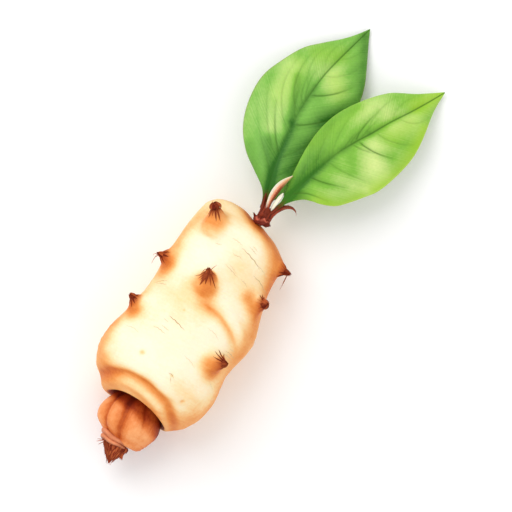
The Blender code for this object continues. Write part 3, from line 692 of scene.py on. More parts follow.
def makeBud(name, skin, foot, direction, material):
    look, shared = budLooks[name], budScales
    bm = bmesh.new()
    size, reach, horn = [look[key] * mm for key in ("cap", "length", "horn")]
    top = foot + direction * (horn - 0.5 * mm)
    knobward, side = budFrame(direction)
    # closed point of the bud: overlapping dry scales round a core
    core = [top + direction * (step * reach) for step, _ in shared["core"]]
    widths = [wide * size for _, wide in shared["core"]]
    addStrand(bm, core, widths, widths, Vector((0.3, 0.1, 1)), 0.12, sides=14)
    for number in range(shared["scales"]):
        out = around(knobward, side, wholeTurn * (number + 0.35 * dice.random()) / shared["scales"])
        far = 0.95 + 0.4 * dice.random()
        points = [top + out * 1.02 * size - direction * (0.5 + 0.5 * dice.random()) * reach,
                  top + out * 1.0 * size + direction * 0.1 * reach,
                  top + out * 0.7 * size + direction * 0.6 * reach * far,
                  top + out * 0.25 * size + direction * 1.05 * reach * far]
        thick = [shared["scaleThick"] * mm] * 7 + [0.05 * mm]
        addStrand(bm, evenPath([list(p) for p in points], 8), [w * size for w in shared["scaleTaper"]], thick,
                  out, 0.75 * dice.random() ** 1.4)
    # fingers that run down over the stub, and fibres between them
    for degrees, length, halfWidth in look["fingers"]:
        path, normals = budPath(skin, foot, direction, horn, math.radians(degrees), length * mm, 0.07 * mm)
        wide = [halfWidth * mm * w for w in shared["fingerTaper"]]
        thick = [shared["fingerThick"] * mm * (1 - k / 11) for k in range(10)]
        addStrand(bm, path, wide, thick, normals, 0.4 * dice.random())
    for number in range(shared["fibres"]):
        turn = wholeTurn * (number + dice.random()) / shared["fibres"]
        length = dice.uniform(*shared["fibreLength"]) * mm
        path, normals = budPath(skin, foot, direction, horn, turn, length, 0.05 * mm)
        wide, thick = taper(10, 0.14 * mm, 0.03 * mm), taper(10, 0.12 * mm, 0.03 * mm)
        addStrand(bm, path, wide, thick, normals, 0.2 + 0.7 * dice.random(), sides=5)
    for degrees, outwards, drop in look["hairs"]:
        out = around(knobward, side, math.radians(degrees))
        start = top + direction * 0.5 * reach + out * 0.4 * size
        middle = start + (direction * 0.8 + out) * outwards * 0.6 * mm + along * drop * 0.25 * mm
        end = start + (direction * 0.4 + out) * outwards * mm + along * drop * mm
        addHair(bm, [start, middle, end], shared["hair"] * mm, 0.2 + 0.5 * dice.random(), 9)
    for number in range(shared["frays"]):
        out = Vector([dice.uniform(-1, 1) for axis in range(3)])
        out = (out - direction * out.dot(direction)).normalized()
        start = top + out * 0.4 * size + direction * 0.4 * reach
        end = top + out * dice.uniform(0.1, 0.8) * size + direction * dice.uniform(1.0, 1.35) * reach
        middle = (start + end) / 2 + out * 0.15 * size
        addHair(bm, [start, middle, end], shared["fray"] * mm, dice.random(), 5)
    words = "".join(word.capitalize() for word in name.split("_"))
    finishStrands("bud" + words, bm, material, "dry_scale", "bud_scale_" + name)


knobLook = {
    "profile": [
        (-34.8, 0.0), (-34.9, 4.5), (-35.3, 7.4), (-36.6, 9.0), (-38.6, 10.4), (-40.6, 11.4),
        (-43.0, 12.4), (-46.2, 13.0), (-49.3, 12.6), (-52.0, 11.1), (-54.2, 9.2), (-55.7, 7.5),
        (-56.1, 5.5), (-56.2, 0.0)],
    # degrees round it at the lip and at the end, from y to y, depth and half-width
    "furrows": [
        (146, 140, -36, -53.5, 1.0, 1.0), (108, 101, -36, -54.0, 1.25, 1.2),
        (70, 63, -36, -46.5, 0.45, 0.6), (2, 4, -36, -53, 0.9, 1.2), (-36, -30, -36, -54, 1.2, 1.2),
        (-75, -80, -36, -54, 1.2, 1.2), (-118, -112, -36, -54, 1.1, 1.2), (-165, -160, -36, -54, 1.2, 1.2)],
    "lipEdge": [(-15, -38.8), (-2, -39.6), (6, -41.6), (12, -44.4)],  # (x, y) where the painted shadow under the lip starts
    # how far below the lip the painted shadow reaches
    "lipShadowReach": [(-12, 3.2), (0, 5.4), (10, 7.0)],
    "endShift": 1.4, "sides": 200,
    "stops": [(0.0, "#faae72"), (1.0, "#6a1a05"), (0.22, "#ec8e4e"), (0.46, "#cc6326"), (0.72, "#9a360e")],
}


def makeKnob():
    look = knobLook
    lo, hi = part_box("end_knob")
    centre = (lo + hi) / 2
    squeeze = (hi.z - lo.z) / (hi.x - lo.x)
    rows = evenPath(look["profile"], 90, 16)
    rows[:, 1] = np.maximum(rows[:, 1], 0)
    rows[0, 1] = rows[-1, 1] = 0
    piece = newPiece("endKnobCork", turnedSkin(rows, look["sides"]))
    mesh = piece.data
    co = readRows(mesh.vertices, "co")
    angle = np.degrees(np.arctan2(co[:, 2], co[:, 0]))
    radius = np.hypot(co[:, 0], co[:, 2])
    offPole = radius > 3 * mm
    y = co[:, 1] / mm
    sink = np.zeros(len(co))
    for start, end, first, last, depth, width in look["furrows"]:
        share = np.clip((y - first) / (last - first), 0, 1)
        middle = start + (end - start) * share + 2.0 * np.sin(y / 3.1 + start)
        gap = np.abs((angle - middle + 180) % 360 - 180) * math.pi / 180 * radius / mm
        fade = smoothStep(last - 2.5, last + 1.5, y)
        sink += depth * (0.5 * bell(gap, width) + 0.8 * bell(gap, 3.0 * width)) * fade * offPole
    lumps = noiseAt(co, 8 * mm, 21.0)
    shrunk = radius - (sink * mm + 0.35 * mm * (1 - lumps) * offPole - 0.7 * mm * offPole)
    shrunk *= 1 - 0.10 * smoothStep(-51, -55.5, y)
    wrinkle = 0.10 * mm * np.sin(y * 4.2 + 2 * noiseAt(co, 5 * mm, 2.0)) * smoothStep(-49, -54, y) * offPole
    share = (shrunk + wrinkle) / np.maximum(radius, 1e-9)
    co[:, 0] *= share
    co[:, 2] *= share * squeeze
    co += [centre.x, 0, centre.z]
    co[:, 0] += look["endShift"] * mm * smoothStep(-50, -55.5, y)
    setPlaces(mesh, co)
    facing = readRows(mesh.vertex_normals, "vector")
    x = co[:, 0] / mm
    # painted shade: a shadow under the lip, and darker in furrows, on the underside, on the right and towards
    # the end
    shadow = 1 - smoothStep(0, 1, (between(x, look["lipEdge"]) - y) / between(x, look["lipShadowReach"]))
    dark = 0.04 + 0.5 * np.clip(sink / 1.5, 0, 1) + 0.56 * shadow
    dark += 0.20 * smoothStep(0.7, -0.5, facing[:, 2]) + 0.12 * smoothStep(0.35, 0.95, facing[:, 0])
    addField(mesh, "paintedCorkShade", dark + 0.16 * smoothStep(-51.5, -55.0, y))
    finishPiece(piece, [corkSkin(look["stops"])], "knob_cork", "end_knob")


foldLook = {
    "skin": ("pinkFold", "#7c2f12", "#f0986a", 0.5, 700.0, (1.0, 1.0, 1.0), 0.2),  # pinkish brown, satin
    "middle": -2.9, "rise": 1.14, "lean": 0.16, "squareness": 2.6, "sides": 120,
    # two thick folds: (y, radius) from the knob down to the dry tip
    "profile": [
        (-53.6, 0.0), (-53.6, 4.6), (-53.9, 5.9), (-54.5, 6.5), (-55.2, 6.55), (-55.7, 6.1),
        (-55.95, 5.25), (-56.2, 5.75), (-56.6, 5.95), (-57.1, 5.7), (-57.5, 5.1), (-57.8, 4.2),
        (-57.8, 0.0)],
    # (share of the length, radius) of the crests, where a painted highlight falls
    "crown": [(0, 5.6), (0.45, 5.9), (0.62, 6.5), (1, 6.5)],
}


def makeKnobFolds():  # folds of skin between the knob and its dry tip, higher on the left
    look = foldLook
    piece = newPiece("knobFolds", turnedSkin(look["profile"], look["sides"]))
    addModifier(piece, "SUBSURF", levels=1, render_levels=1)
    mesh = settle(piece)
    co = readRows(mesh.vertices, "co")
    angle = np.arctan2(co[:, 2], co[:, 0])
    radius = np.hypot(co[:, 0], co[:, 2])
    top, bottom = look["profile"][0][0], look["profile"][-1][0]
    depth = np.clip((co[:, 1] / mm - bottom) / (top - bottom), 0, 1)
    outside = smoothStep(2.5 * mm, 4.5 * mm, radius)
    wave = noiseAt(np.stack([np.cos(angle) * 9, co[:, 1] / mm * 3, np.sin(angle) * 9], 1) * mm, 4 * mm, 4.0)
    power = look["squareness"]
    squarer = (np.abs(np.cos(angle)) ** power + np.abs(np.sin(angle)) ** power) ** (-1 / power)
    crown = radius / (between(depth, look["crown"]) * mm)
    share = (1 + 0.04 * wave * outside) * squarer
    co[:, 0] *= share
    co[:, 2] *= share * look["rise"]
    co[:, 1] += (0.16 * np.sin(3 * angle) + 0.12 * np.sin(5 * angle + 2)) * mm * outside
    co[:, 1] -= look["lean"] * co[:, 0] * depth
    co += [look["middle"] * mm, 0, middleOf("knob_collar").z]
    setPlaces(mesh, co)
    # painted highlight on the crests, painted shade in the creases and on the right-hand side
    light = (0.25 + 0.75 * smoothStep(0.86, 1.0, crown)) * (0.8 + 0.2 * wave)
    addField(mesh, "shade", light - 0.45 * smoothStep(-2.5 * mm, 2.5 * mm, co[:, 0]))
    finishPiece(piece, [shadedFibre(*look["skin"])], "knob_fold", "knob_collar")


tipLook = {
    "skin": ("dryTipScale", "#7e260e", "#d6703e", 0.8, 1200.0),  # matte brown bristles with rusty edges
    # (share of the length, share of the half-width) of the cone under the scales
    "cone": [(0.0, 0.9), (0.08, 1.0), (0.3, 0.82), (0.55, 0.52), (0.8, 0.24), (1.0, 0.03)],
    "into": 2.7, "bend": 0.9, "scales": 96, "bristles": 70,
    "scaleTaper": (0.6, 1.0, 1.0, 0.85, 0.6, 0.35, 0.06),
    # the shorter second point on the right: (x and z from the tip's middle, y)
    "second": [(2.6, -58.0, 1.8), (3.7, -59.8, 1.7), (4.7, -61.7, 1.2)],
    "secondTaper": (0.9, 1.1, 1.0, 0.8, 0.55, 0.3, 0.05),
    # x at the root, x and y at the end
    "sideHairs": [(-6.0, -9.0, -58.6), (-5.8, -8.9, -59.6), (-5.4, -7.6, -60.3)],
}


def makeKnobTip():  # dry bristly point: a fluted cone under pointed scales and fibres
    look = tipLook
    lo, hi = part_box("knob_tip_scale")
    top = hi.y + look["into"] * mm
    length = top - lo.y
    centre = Vector(((lo.x + hi.x) / 2 - 0.4 * mm, 0, (lo.z + hi.z) / 2))
    half, rise = (hi.x - lo.x) / 2, (hi.z - lo.z) / 2

    def middleAt(share):
        return centre + along * (top - share * length) + right * look["bend"] * mm * share ** 2

    def outwards(turn):
        return right * math.cos(turn) * half / mm + up * math.sin(turn) * rise / mm

    bm = bmesh.new()
    points = [middleAt(share) for share, _ in look["cone"]]
    wide, thick = [[size * radius for _, size in look["cone"]] for radius in (half, rise)]
    addStrand(bm, points, wide, thick, up, 0.15, sides=28)
    for number in range(look["scales"]):  # in rows along the cone, standing off a little at their ends
        out = outwards(wholeTurn * (number * 0.382 + 0.05 * dice.random()))
        start = -0.04 + 0.62 * (number / look["scales"])
        reach = min(1.0, start + dice.uniform(0.22, 0.42))
        flare = dice.uniform(0.02, 0.13)
        line = []
        for step in np.linspace(0, 1, 7):
            share = start + (reach - start) * step
            size = between(share, look["cone"]) + flare * step ** 2 + 0.03
            line.append(middleAt(share) + out * size * mm)
        wide = dice.uniform(0.35, 0.8) * (1.1 - start) * mm
        addStrand(bm, line, [wide * w for w in look["scaleTaper"]], taper(7, 0.16 * mm, 0.04 * mm),
                  out, 0.85 * dice.random() ** 2, sides=6)
    for number in range(look["bristles"]):
        out = outwards(wholeTurn * dice.random())
        start = dice.uniform(0.0, 0.6)
        reach = min(1.06, start + dice.uniform(0.25, 0.6))
        line = []
        for step in (0, 0.5, 1):
            share = start + (reach - start) * step
            size = between(share, look["cone"]) + 0.14 * step ** 2 * dice.random() + 0.05
            line.append(middleAt(share) + out * size * mm)
        addHair(bm, line, 0.1 * mm, dice.random(), 6)
    second = [centre + Vector(p) * mm for p in look["second"]]
    for shift in (-0.5, 0.0, 0.45):
        line = evenPath([list(p + right * shift * mm) for p in second], 7)
        addStrand(bm, line, [0.75 * mm * w for w in look["secondTaper"]], taper(7, 0.45 * mm, 0.05 * mm), up,
                  0.2 + 0.3 * dice.random())
    for rootX, endX, endY in look["sideHairs"]:
        start = Vector((rootX * mm, -57.3 * mm, centre.z + 2.0 * mm))
        end = Vector((endX * mm, endY * mm, centre.z + 2.6 * mm))
        addHair(bm, [start, (start + end) / 2 + up * 0.4 * mm, end], 0.24 * mm, 0.7 * dice.random(), 7)
    finishStrands("knobTipScales", bm, shadedFibre(*look["skin"]), "dry_scale", "knob_tip_scale")


sheathLook = {
    "skin": ("tornSheath", "#6a1c0c", "#dc7258", 0.55, 900.0),  # maroon ring, with a painted pink highlight on its rim, soft sheen
    "lean": 0.34, "shift": (-0.35, 0.35), "size": 0.82, "tall": 0.85, "sides": 64,  # leans left of the stalks
    # (height, radius, how light) round the ring's section, out and up and back down inside; the light rows
    # are a painted highlight on the rim, the dark ones painted shade inside and underneath
    "section": [(-2.4, 4.6, 0.0), (-1.6, 4.35, 0.05), (-1.0, 4.05, 0.1), (-0.6, 4.1, 0.5), (-0.1, 4.15, 0.9),
                (0.4, 3.95, 0.8), (0.8, 3.6, 0.3), (1.0, 3.3, 0.1), (0.7, 2.9, 0.0), (-1.2, 2.7, 0.0),
                (-2.4, 3.4, 0.0)],
    "spikes": [(200, 1.5), (165, 1.9), (20, 1.8), (-8, 1.4), (38, 1.6), (100, 1.1), (-70, 1.4), (250, 1.3)],
}
shootLook = {
    "skin": ("shootSkin", "#5e1a08", "#a84426", 0.5, 900.0, (1.0, 0.3, 1.0)),  # maroon, streaked lengthwise
    # (height, radius) of the bundle's core, and how many stalk bases are pressed round it
    "core": [(-1.6, 2.9), (-0.6, 3.0), (0.6, 2.9), (1.8, 2.75), (3.0, 2.5), (4.0, 2.1), (4.9, 1.5),
             (5.6, 0.6)],
    "bases": 16, "baseTaper": (0.9, 1, 1, 1, 0.9, 0.7, 0.2),
    # sheathing strands that run up each stalk: (x, y) path, half-width at each end, how light
    "strands": [
        ([(6.2, 50.6), (6.0, 53.0), (5.2, 56.5), (4.4, 60.0)], 0.85, 0.22, 0.25),
        ([(7.0, 50.8), (6.8, 54.0), (6.1, 57.0)], 0.7, 0.12, 0.5),
        ([(7.8, 51.0), (7.7, 54.0), (7.9, 57.5), (8.8, 61.5), (9.4, 64.5)], 0.75, 0.12, 0.35),
        ([(8.6, 51.0), (8.9, 54.0), (9.3, 56.4)], 0.7, 0.1, 0.15),
        ([(9.4, 51.0), (10.2, 53.8), (11.5, 57.2), (12.9, 60.4)], 0.8, 0.2, 0.3),
        ([(10.2, 50.8), (11.2, 53.4), (12.8, 57.0), (14.6, 59.8)], 0.75, 0.12, 0.55)],
}


def shootAxis():  # where the shoot leaves the root and which way it points, from its CAD solids
    collar, stump = [readRows(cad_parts[node].data.vertices, "co").mean(axis=0)
                     for node in ("shoot_collar", "shoot_base")]
    direction = Vector(stump - collar).normalized()
    return Vector(collar) - direction * 0.5 * mm, direction


def makeSheath():  # a torn ring with short spikes on its rim
    look = sheathLook
    collar, direction = shootAxis()
    middle = collar + (right * look["shift"][0] + along * look["shift"][1]) * mm
    leaning = (direction - right * look["lean"]).normalized()
    side = leaning.cross(up).normalized()
    rise = side.cross(leaning)
    bm = bmesh.new()
    turns = [wholeTurn * n / look["sides"] for n in range(look["sides"])]
    rings = []
    for height, size, tone in look["section"]:
        places = []
        for turn in turns:
            torn = 0.3 * math.sin(7 * turn)
            if height > -0.7:
                torn = 0.3 * math.sin(5 * turn + 1) + 0.25 * math.sin(11 * turn)
            rough = 1 + 0.05 * math.sin(9 * turn + height * 2) + 0.03 * math.sin(17 * turn)
            lift = leaning * (look["tall"] * height + torn) * mm
            places.append(middle + lift + around(side, rise, turn) * size * look["size"] * rough * mm)
        # painted highlight on the rim and painted shade inside and underneath, varied round the ring
        rings.append(addRing(bm, places, [tone * (0.65 + 0.35 * math.sin(6 * turn + 0.7)) for turn in turns]))
    bridgeRings(bm, rings + rings[:1])
    for degrees, reach in look["spikes"]:
        out = around(side, rise, math.radians(degrees))
        start = middle + out * 3.0 * mm + leaning * 0.1 * mm
        end = middle + out * (3.1 + 0.7 * reach) * mm + leaning * (1.0 + 0.5 * reach) * mm
        line = evenPath([list(start), list((start + end) / 2 + direction * 0.1 * mm), list(end)], 6)
        addStrand(bm, line, taper(6, 0.55 * mm, 0.05 * mm), taper(6, 0.3 * mm, 0.04 * mm), up, 0.0, sides=6)
    finishStrands("shootSheath", bm, shadedFibre(*look["skin"]), "sheath", "shoot_collar")


def makeShoot():  # stalk bases pressed together into a fluted bundle, with strands up each stalk
    look = shootLook
    collar, direction = shootAxis()
    side = direction.cross(up).normalized()
    rise = side.cross(direction)
    bm = bmesh.new()
    points = [collar + direction * height * mm for height, _ in look["core"]]
    sizes = [size * mm for _, size in look["core"]]
    addStrand(bm, points, sizes, [0.95 * s for s in sizes], up, 0.25, sides=48)
    for number in range(look["bases"]):
        out = around(side, rise, wholeTurn * number / look["bases"] + 0.2 * dice.random())
        start = collar + out * 2.75 * mm - direction * 1.4 * mm
        line = [start, start + direction * 2.5 * mm + out * 0.05 * mm,
                start + direction * dice.uniform(4.8, 6.2) * mm - out * 0.15 * mm]
        wide = dice.uniform(0.35, 0.6) * mm
        addStrand(bm, evenPath([list(p) for p in line], 7), [wide * w for w in look["baseTaper"]],
                  [0.5 * wide] * 6 + [0.1 * wide], out, dice.random() ** 2)
    solids = [BVHTree.FromBMesh(mergedCopy(node)) for node in ("leaf_left", "leaf_right", "shoot_base")]
    for line, start, end, tone in look["strands"]:
        rows = []
        for x, y in evenPath(line, 18):
            hits = [tree.ray_cast(Vector((x * mm, y * mm, rayHeight)), -up)[0] for tree in solids]
            rows.append((x, y, max([hit.z / mm for hit in hits if hit] or [22.0])))
        rows = np.array(rows)
        rows[:, 2] = np.convolve(np.pad(rows[:, 2], 3, mode="edge"), np.ones(7) / 7, mode="valid") + 0.1
        wide, thick = taper(18, start * mm, end * mm), taper(18, 0.75 * start * mm, 0.7 * end * mm)
        addStrand(bm, rows * mm, wide, thick, up, tone, sides=10)
    finishStrands("shootBase", bm, shadedFibre(*look["skin"]), "shoot_skin", "shoot_base")


# midrib and margins from base to tip: (x, y); wave: height, waves and start of the margin's ripple;
# veins: share along the midrib where it leaves, side, share along where it ends, how far out, how dark;
# glow: (x, y) path, width and strength of painted light, or of painted shade where negative; lime: the same
# for a yellower stretch; rim: strength of the edge
# colour, left and right; colours: dark, middle, light, edge, vein
leafLooks = {
    "leafLeft": {
        "node": "leaf_left",
        "midrib": [
            (6.0, 53.8), (4.9, 60.0), (3.3, 67.5), (2.0, 75.5), (1.2, 85.4), (0.9, 95.0), (1.5, 103.6),
            (2.9, 113.0), (5.4, 122.0), (8.3, 131.2), (10.4, 137.8)],
        "left": [
            (5.3, 54.0), (3.6, 58.6), (1.1, 61.8), (-4.3, 65.9), (-10.4, 70.8), (-15.5, 77.6),
            (-18.4, 85.2), (-19.5, 93.9), (-18.7, 101.8), (-15.3, 109.6), (-10.0, 118.4), (-3.5, 124.3),
            (2.5, 129.2), (6.9, 133.7), (10.3, 137.9)],
        "right": [
            (7.5, 54.4), (8.2, 58.0), (11.0, 62.2), (13.2, 67.5), (14.8, 73.0), (17.4, 83.0), (19.6, 92.5),
            (20.7, 101.5), (20.6, 109.5), (19.2, 116.6), (16.5, 123.5), (12.6, 132.5), (10.5, 137.7)],
        "midribFrom": 0.55,
        "veins": [
            (0.16, -1, 0.46, 0.88, 0.25), (0.24, -1, 0.56, 0.86, 0.3), (0.27, -1, 0.48, 0.5, 0.7),
            (0.38, -1, 0.7, 0.84, 0.3), (0.48, -1, 0.76, 0.75, 0.4), (0.59, -1, 0.84, 0.8, 0.2),
            (0.71, -1, 0.91, 0.75, 0.15), (0.14, 1, 0.34, 0.85, 0.2), (0.25, 1, 0.47, 0.86, 0.3),
            (0.42, 1, 0.56, 0.8, 0.7), (0.52, -1, 0.66, 0.32, 0.4), (0.55, -1, 0.68, 0.24, 0.35),
            (0.45, -1, 0.6, 0.28, 0.35), (0.58, 1, 0.7, 0.7, 0.75), (0.69, 1, 0.82, 0.8, 0.2),
            (0.8, 1, 0.91, 0.7, 0.15)],
        "glow": [
            ([(-10.5, 109), (-8.5, 97), (-5.5, 85)], 4.2, 0.3), ([(-4, 114), (3, 112)], 5.0, 0.12),
            ([(9, 97), (14, 104)], 4.0, -0.1), ([(6.0, 115), (10, 109)], 4.4, 0.26),
            ([(-15.5, 96), (-14.5, 84)], 4.0, 0.08), ([(1.5, 59), (-5, 66.5), (-11, 73)], 3.6, -0.22),
            ([(12, 104), (16, 112)], 3.6, 0.1), ([(10.5, 134), (15, 125), (19.5, 114)], 2.6, -0.28),
            ([(20, 109), (13, 98), (10.3, 84), (9, 72)], 4.4, -0.3),
            ([(6, 84), (8, 74), (8, 64)], 4.0, -0.1), ([(1.5, 88), (2.8, 72), (5, 60)], 3.0, -0.22),
            ([(-6.4, 107), (-3.2, 99), (-0.8, 90)], 1.7, -0.24),
            ([(-5.2, 79), (0, 71), (4.5, 64)], 2.4, -0.24), ([(2.0, 107), (1.0, 97)], 1.6, -0.12),
            ([(12, 121), (16, 117)], 3.0, -0.08), ([(-14, 76), (-8, 70)], 3.0, 0.06)],
        "lime": [
            ([(-8, 112), (-9, 98)], 5.0, 0.25), ([(-3, 119), (4, 122)], 5.0, 0.3),
            ([(7, 114), (11, 109)], 4.0, 0.3)],
        "colours": ("#2f6a1c", "#7cb64c", "#d8ec94", "#a09a68", "#3a6614"), "wave": (1.0, 2.3, 0.3),
        "rim": (0.5, 0.35),
    },
    "leafRight": {
        "node": "leaf_right",
        "midrib": [
            (10.4, 53.8), (12.0, 58.6), (13.6, 63.6), (15.8, 69.8), (18.5, 77.8), (22.0, 86.9),
            (26.4, 94.6), (30.4, 100.6), (35.2, 108.4), (40.4, 115.8), (44.8, 122.6), (48.9, 129.4)],
        "left": [
            (9.8, 54.2), (10.5, 57.0), (11.3, 59.6), (11.3, 62.0), (10.9, 65.6), (10.4, 69.6),
            (10.2, 74.3), (10.2, 82.9), (11.2, 91.5), (13.7, 99.3), (17.1, 105.3), (21.0, 110.4),
            (25.2, 115.0), (29.6, 118.8), (33.8, 121.0), (39.0, 123.4), (44.2, 126.6), (48.7, 129.5)],
        "right": [
            (11.1, 54.0), (12.7, 58.4), (15.4, 61.8), (18.8, 64.4), (22.4, 65.5), (26.2, 66.2),
            (31.4, 68.2), (35.2, 71.6), (39.6, 76.4), (43.6, 81.3), (46.6, 88.0), (49.2, 96.6),
            (50.0, 103.0), (49.7, 110.0), (48.6, 120.5), (49.0, 129.3)],
        "midribFrom": 0.42,
        "veins": [
            (0.15, -1, 0.33, 0.8, 0.2), (0.27, -1, 0.47, 0.82, 0.2), (0.39, -1, 0.6, 0.84, 0.2),
            (0.52, -1, 0.68, 0.5, 0.65), (0.58, -1, 0.8, 0.84, 0.25), (0.72, -1, 0.88, 0.8, 0.15),
            (0.13, 1, 0.26, 0.85, 0.6), (0.25, 1, 0.36, 0.66, 0.75), (0.36, 1, 0.47, 0.8, 0.3),
            (0.49, -1, 0.6, 0.3, 0.45), (0.46, -1, 0.56, 0.26, 0.35), (0.55, -1, 0.66, 0.26, 0.35),
            (0.5, 1, 0.565, 0.4, 0.4), (0.53, 1, 0.61, 0.66, 0.8), (0.62, 1, 0.73, 0.84, 0.25),
            (0.75, 1, 0.86, 0.8, 0.2)],
        "glow": [
            ([(34, 95), (38, 90)], 5.6, 0.36), ([(30, 77), (37, 80)], 5.0, 0.2),
            ([(26, 109), (30, 112)], 5.0, 0.14), ([(37, 108), (42, 113)], 4.6, 0.26),
            ([(12, 58.5), (19, 64)], 3.4, -0.2), ([(11, 64), (12.5, 72), (14, 80)], 4.0, -0.14),
            ([(45, 123), (48, 128)], 3.0, 0.15), ([(46, 122), (47, 112), (47, 98)], 3.0, 0.02),
            ([(24, 105), (28, 111)], 5.0, 0.12), ([(11.5, 86), (15, 99), (21, 108)], 2.2, -0.14),
            ([(20, 84), (24, 91)], 3.0, 0.08), ([(12.5, 62), (15.8, 75), (19, 84)], 4.2, -0.24),
            ([(23, 90), (29, 100)], 2.2, -0.18), ([(30, 101), (37, 111)], 1.6, -0.14),
            ([(14, 84), (17, 94)], 3.0, -0.06), ([(27, 70), (20, 66)], 3.0, 0.1),
            ([(27, 90), (31, 84)], 2.4, -0.1), ([(44, 88), (40, 80)], 2.4, 0.14)],
        "lime": [
            ([(43, 81), (48, 90), (50, 100), (49.5, 112)], 4.0, 0.7),
            ([(25, 66.5), (33, 69), (40, 76)], 3.5, 0.6), ([(42, 119), (48.5, 129)], 4.5, 0.6),
            ([(38, 104), (43, 112)], 5.0, 0.35), ([(12, 86), (22, 108)], 3.0, 0.12)],
        "colours": ("#37741a", "#82bb44", "#e4f29c", "#d2e878", "#3a6614"), "wave": (0.9, 3.1, 1.6),
        "rim": (0.1, 0.6),
    },
}
leafBlade = {
    "across": 110, "along": 230,  # faces of the blade's grid
    "thick": 0.35, "droop": 0.19, "bulge": 0.9, "gutter": 0.3,
    "veinWidth": 0.32, "veinSink": 0.20, "pillow": 0.34, "grain": 0.12,
    "heightMarks": (0.02, 0.1, 0.2, 0.35, 0.5, 0.65, 0.8, 0.9, 0.97),
    "stalk": [(0, 1.15), (0.06, 1.0), (0.14, 0.62), (0.4, 0.45), (0.93, 0.14)],  # (share along, radius)
    "under": ("#5f8f4a", "#93bd74", "#c4dc9c", "#a9cb88", "#8fae5c"),
}


def leafPoint(curves, across, share):  # on the flat plan: across is -1 at the left margin, 1 at the right one
    middle, left, other = [np.stack([np.interp(share, curves["t"], curves[key][:, k]) for k in (0, 1)], 1)
                           for key in ("midrib", "left", "right")]
    out = np.where((across < 0)[:, None], left, other) - middle
    return middle + out * np.abs(across)[:, None], np.linalg.norm(out, axis=1)


def midribHeights(node, curves):  # along the top of the solid that the leaf stands for
    solid = BVHTree.FromBMesh(mergedCopy(node))
    heights = []
    for share in leafBlade["heightMarks"]:
        x, y = [float(np.interp(share, curves["t"], curves["midrib"][:, k])) for k in (0, 1)]
        hit = solid.ray_cast(Vector((x, y, rayHeight)), -up)[0] or solid.find_nearest(Vector((x, y, 0.02)))[0]
        heights.append(hit.z)
    return smoothPath(list(zip(leafBlade["heightMarks"], heights)), 10)


def leafVeins(look, curves, plan):  # how dark, how sunk and how far the blade between them stands up
    vein, sunk, pillow = np.zeros(len(plan)), np.zeros(len(plan)), np.ones(len(plan))
    t = np.linspace(0, 1, 24)
    for start, side, end, reach, dark in look["veins"]:
        path, _ = leafPoint(curves, side * reach * t ** 0.9, start + (end - start) * t ** 1.35)
        gap, place = nearPath(plan, path)
        fade = 1 - smoothStep(0.55, 1.0, place)
        line = bell(gap, leafBlade["veinWidth"] * mm)
        vein = np.maximum(vein, dark * line * (0.25 + 0.75 * fade) * smoothStep(0.0, 0.12, place))
        relief = min(1, dark + 0.2)
        sunk = np.maximum(sunk, relief * bell(gap, 0.55 * mm) * (0.35 + 0.65 * fade))
        pillow = np.minimum(pillow, 1 - relief * (1 - smoothStep(0, 3.4 * mm, gap)))
    return vein, sunk, pillow


def addLeafStalk(mesh, curves, heightRow):  # the round stalk and the ridge under the midrib, one strand
    blade = leafBlade
    bm = bmesh.new()
    bm.from_mesh(mesh)
    before = len(bm.verts)
    count, sides = 60, 12
    shares = np.linspace(0.0, 0.93, count)
    line, _ = leafPoint(curves, np.zeros(count), shares)
    tube = between(shares, blade["stalk"]) * mm
    depth = np.interp(shares, heightRow[:, 0], heightRow[:, 1]) - blade["thick"] * mm - 0.9 * tube - 0.25 * mm
    depth = np.maximum(depth, tube * 0.9 + 0.02 * mm)
    addStrand(bm, np.c_[line, depth], tube, tube, up, 0.0, sides=sides)
    bm.verts.ensure_lookup_table()
    layers = bm.verts.layers.float
    for k, vert in enumerate(bm.verts[before:]):
        vert[layers["stalk"]] = float(1 - smoothStep(0.045, 0.16, shares[k // sides]))
        vert[layers["glow"]] = 0.5
        vert[bm.verts.layers.float_vector["leafPlace"]] = vert.co
    for face in bm.faces:
        if all(vert.index >= before for vert in face.verts):
            face.material_index = 1
    bmesh.ops.recalc_face_normals(bm, faces=bm.faces)
    bm.to_mesh(mesh)
    bm.free()


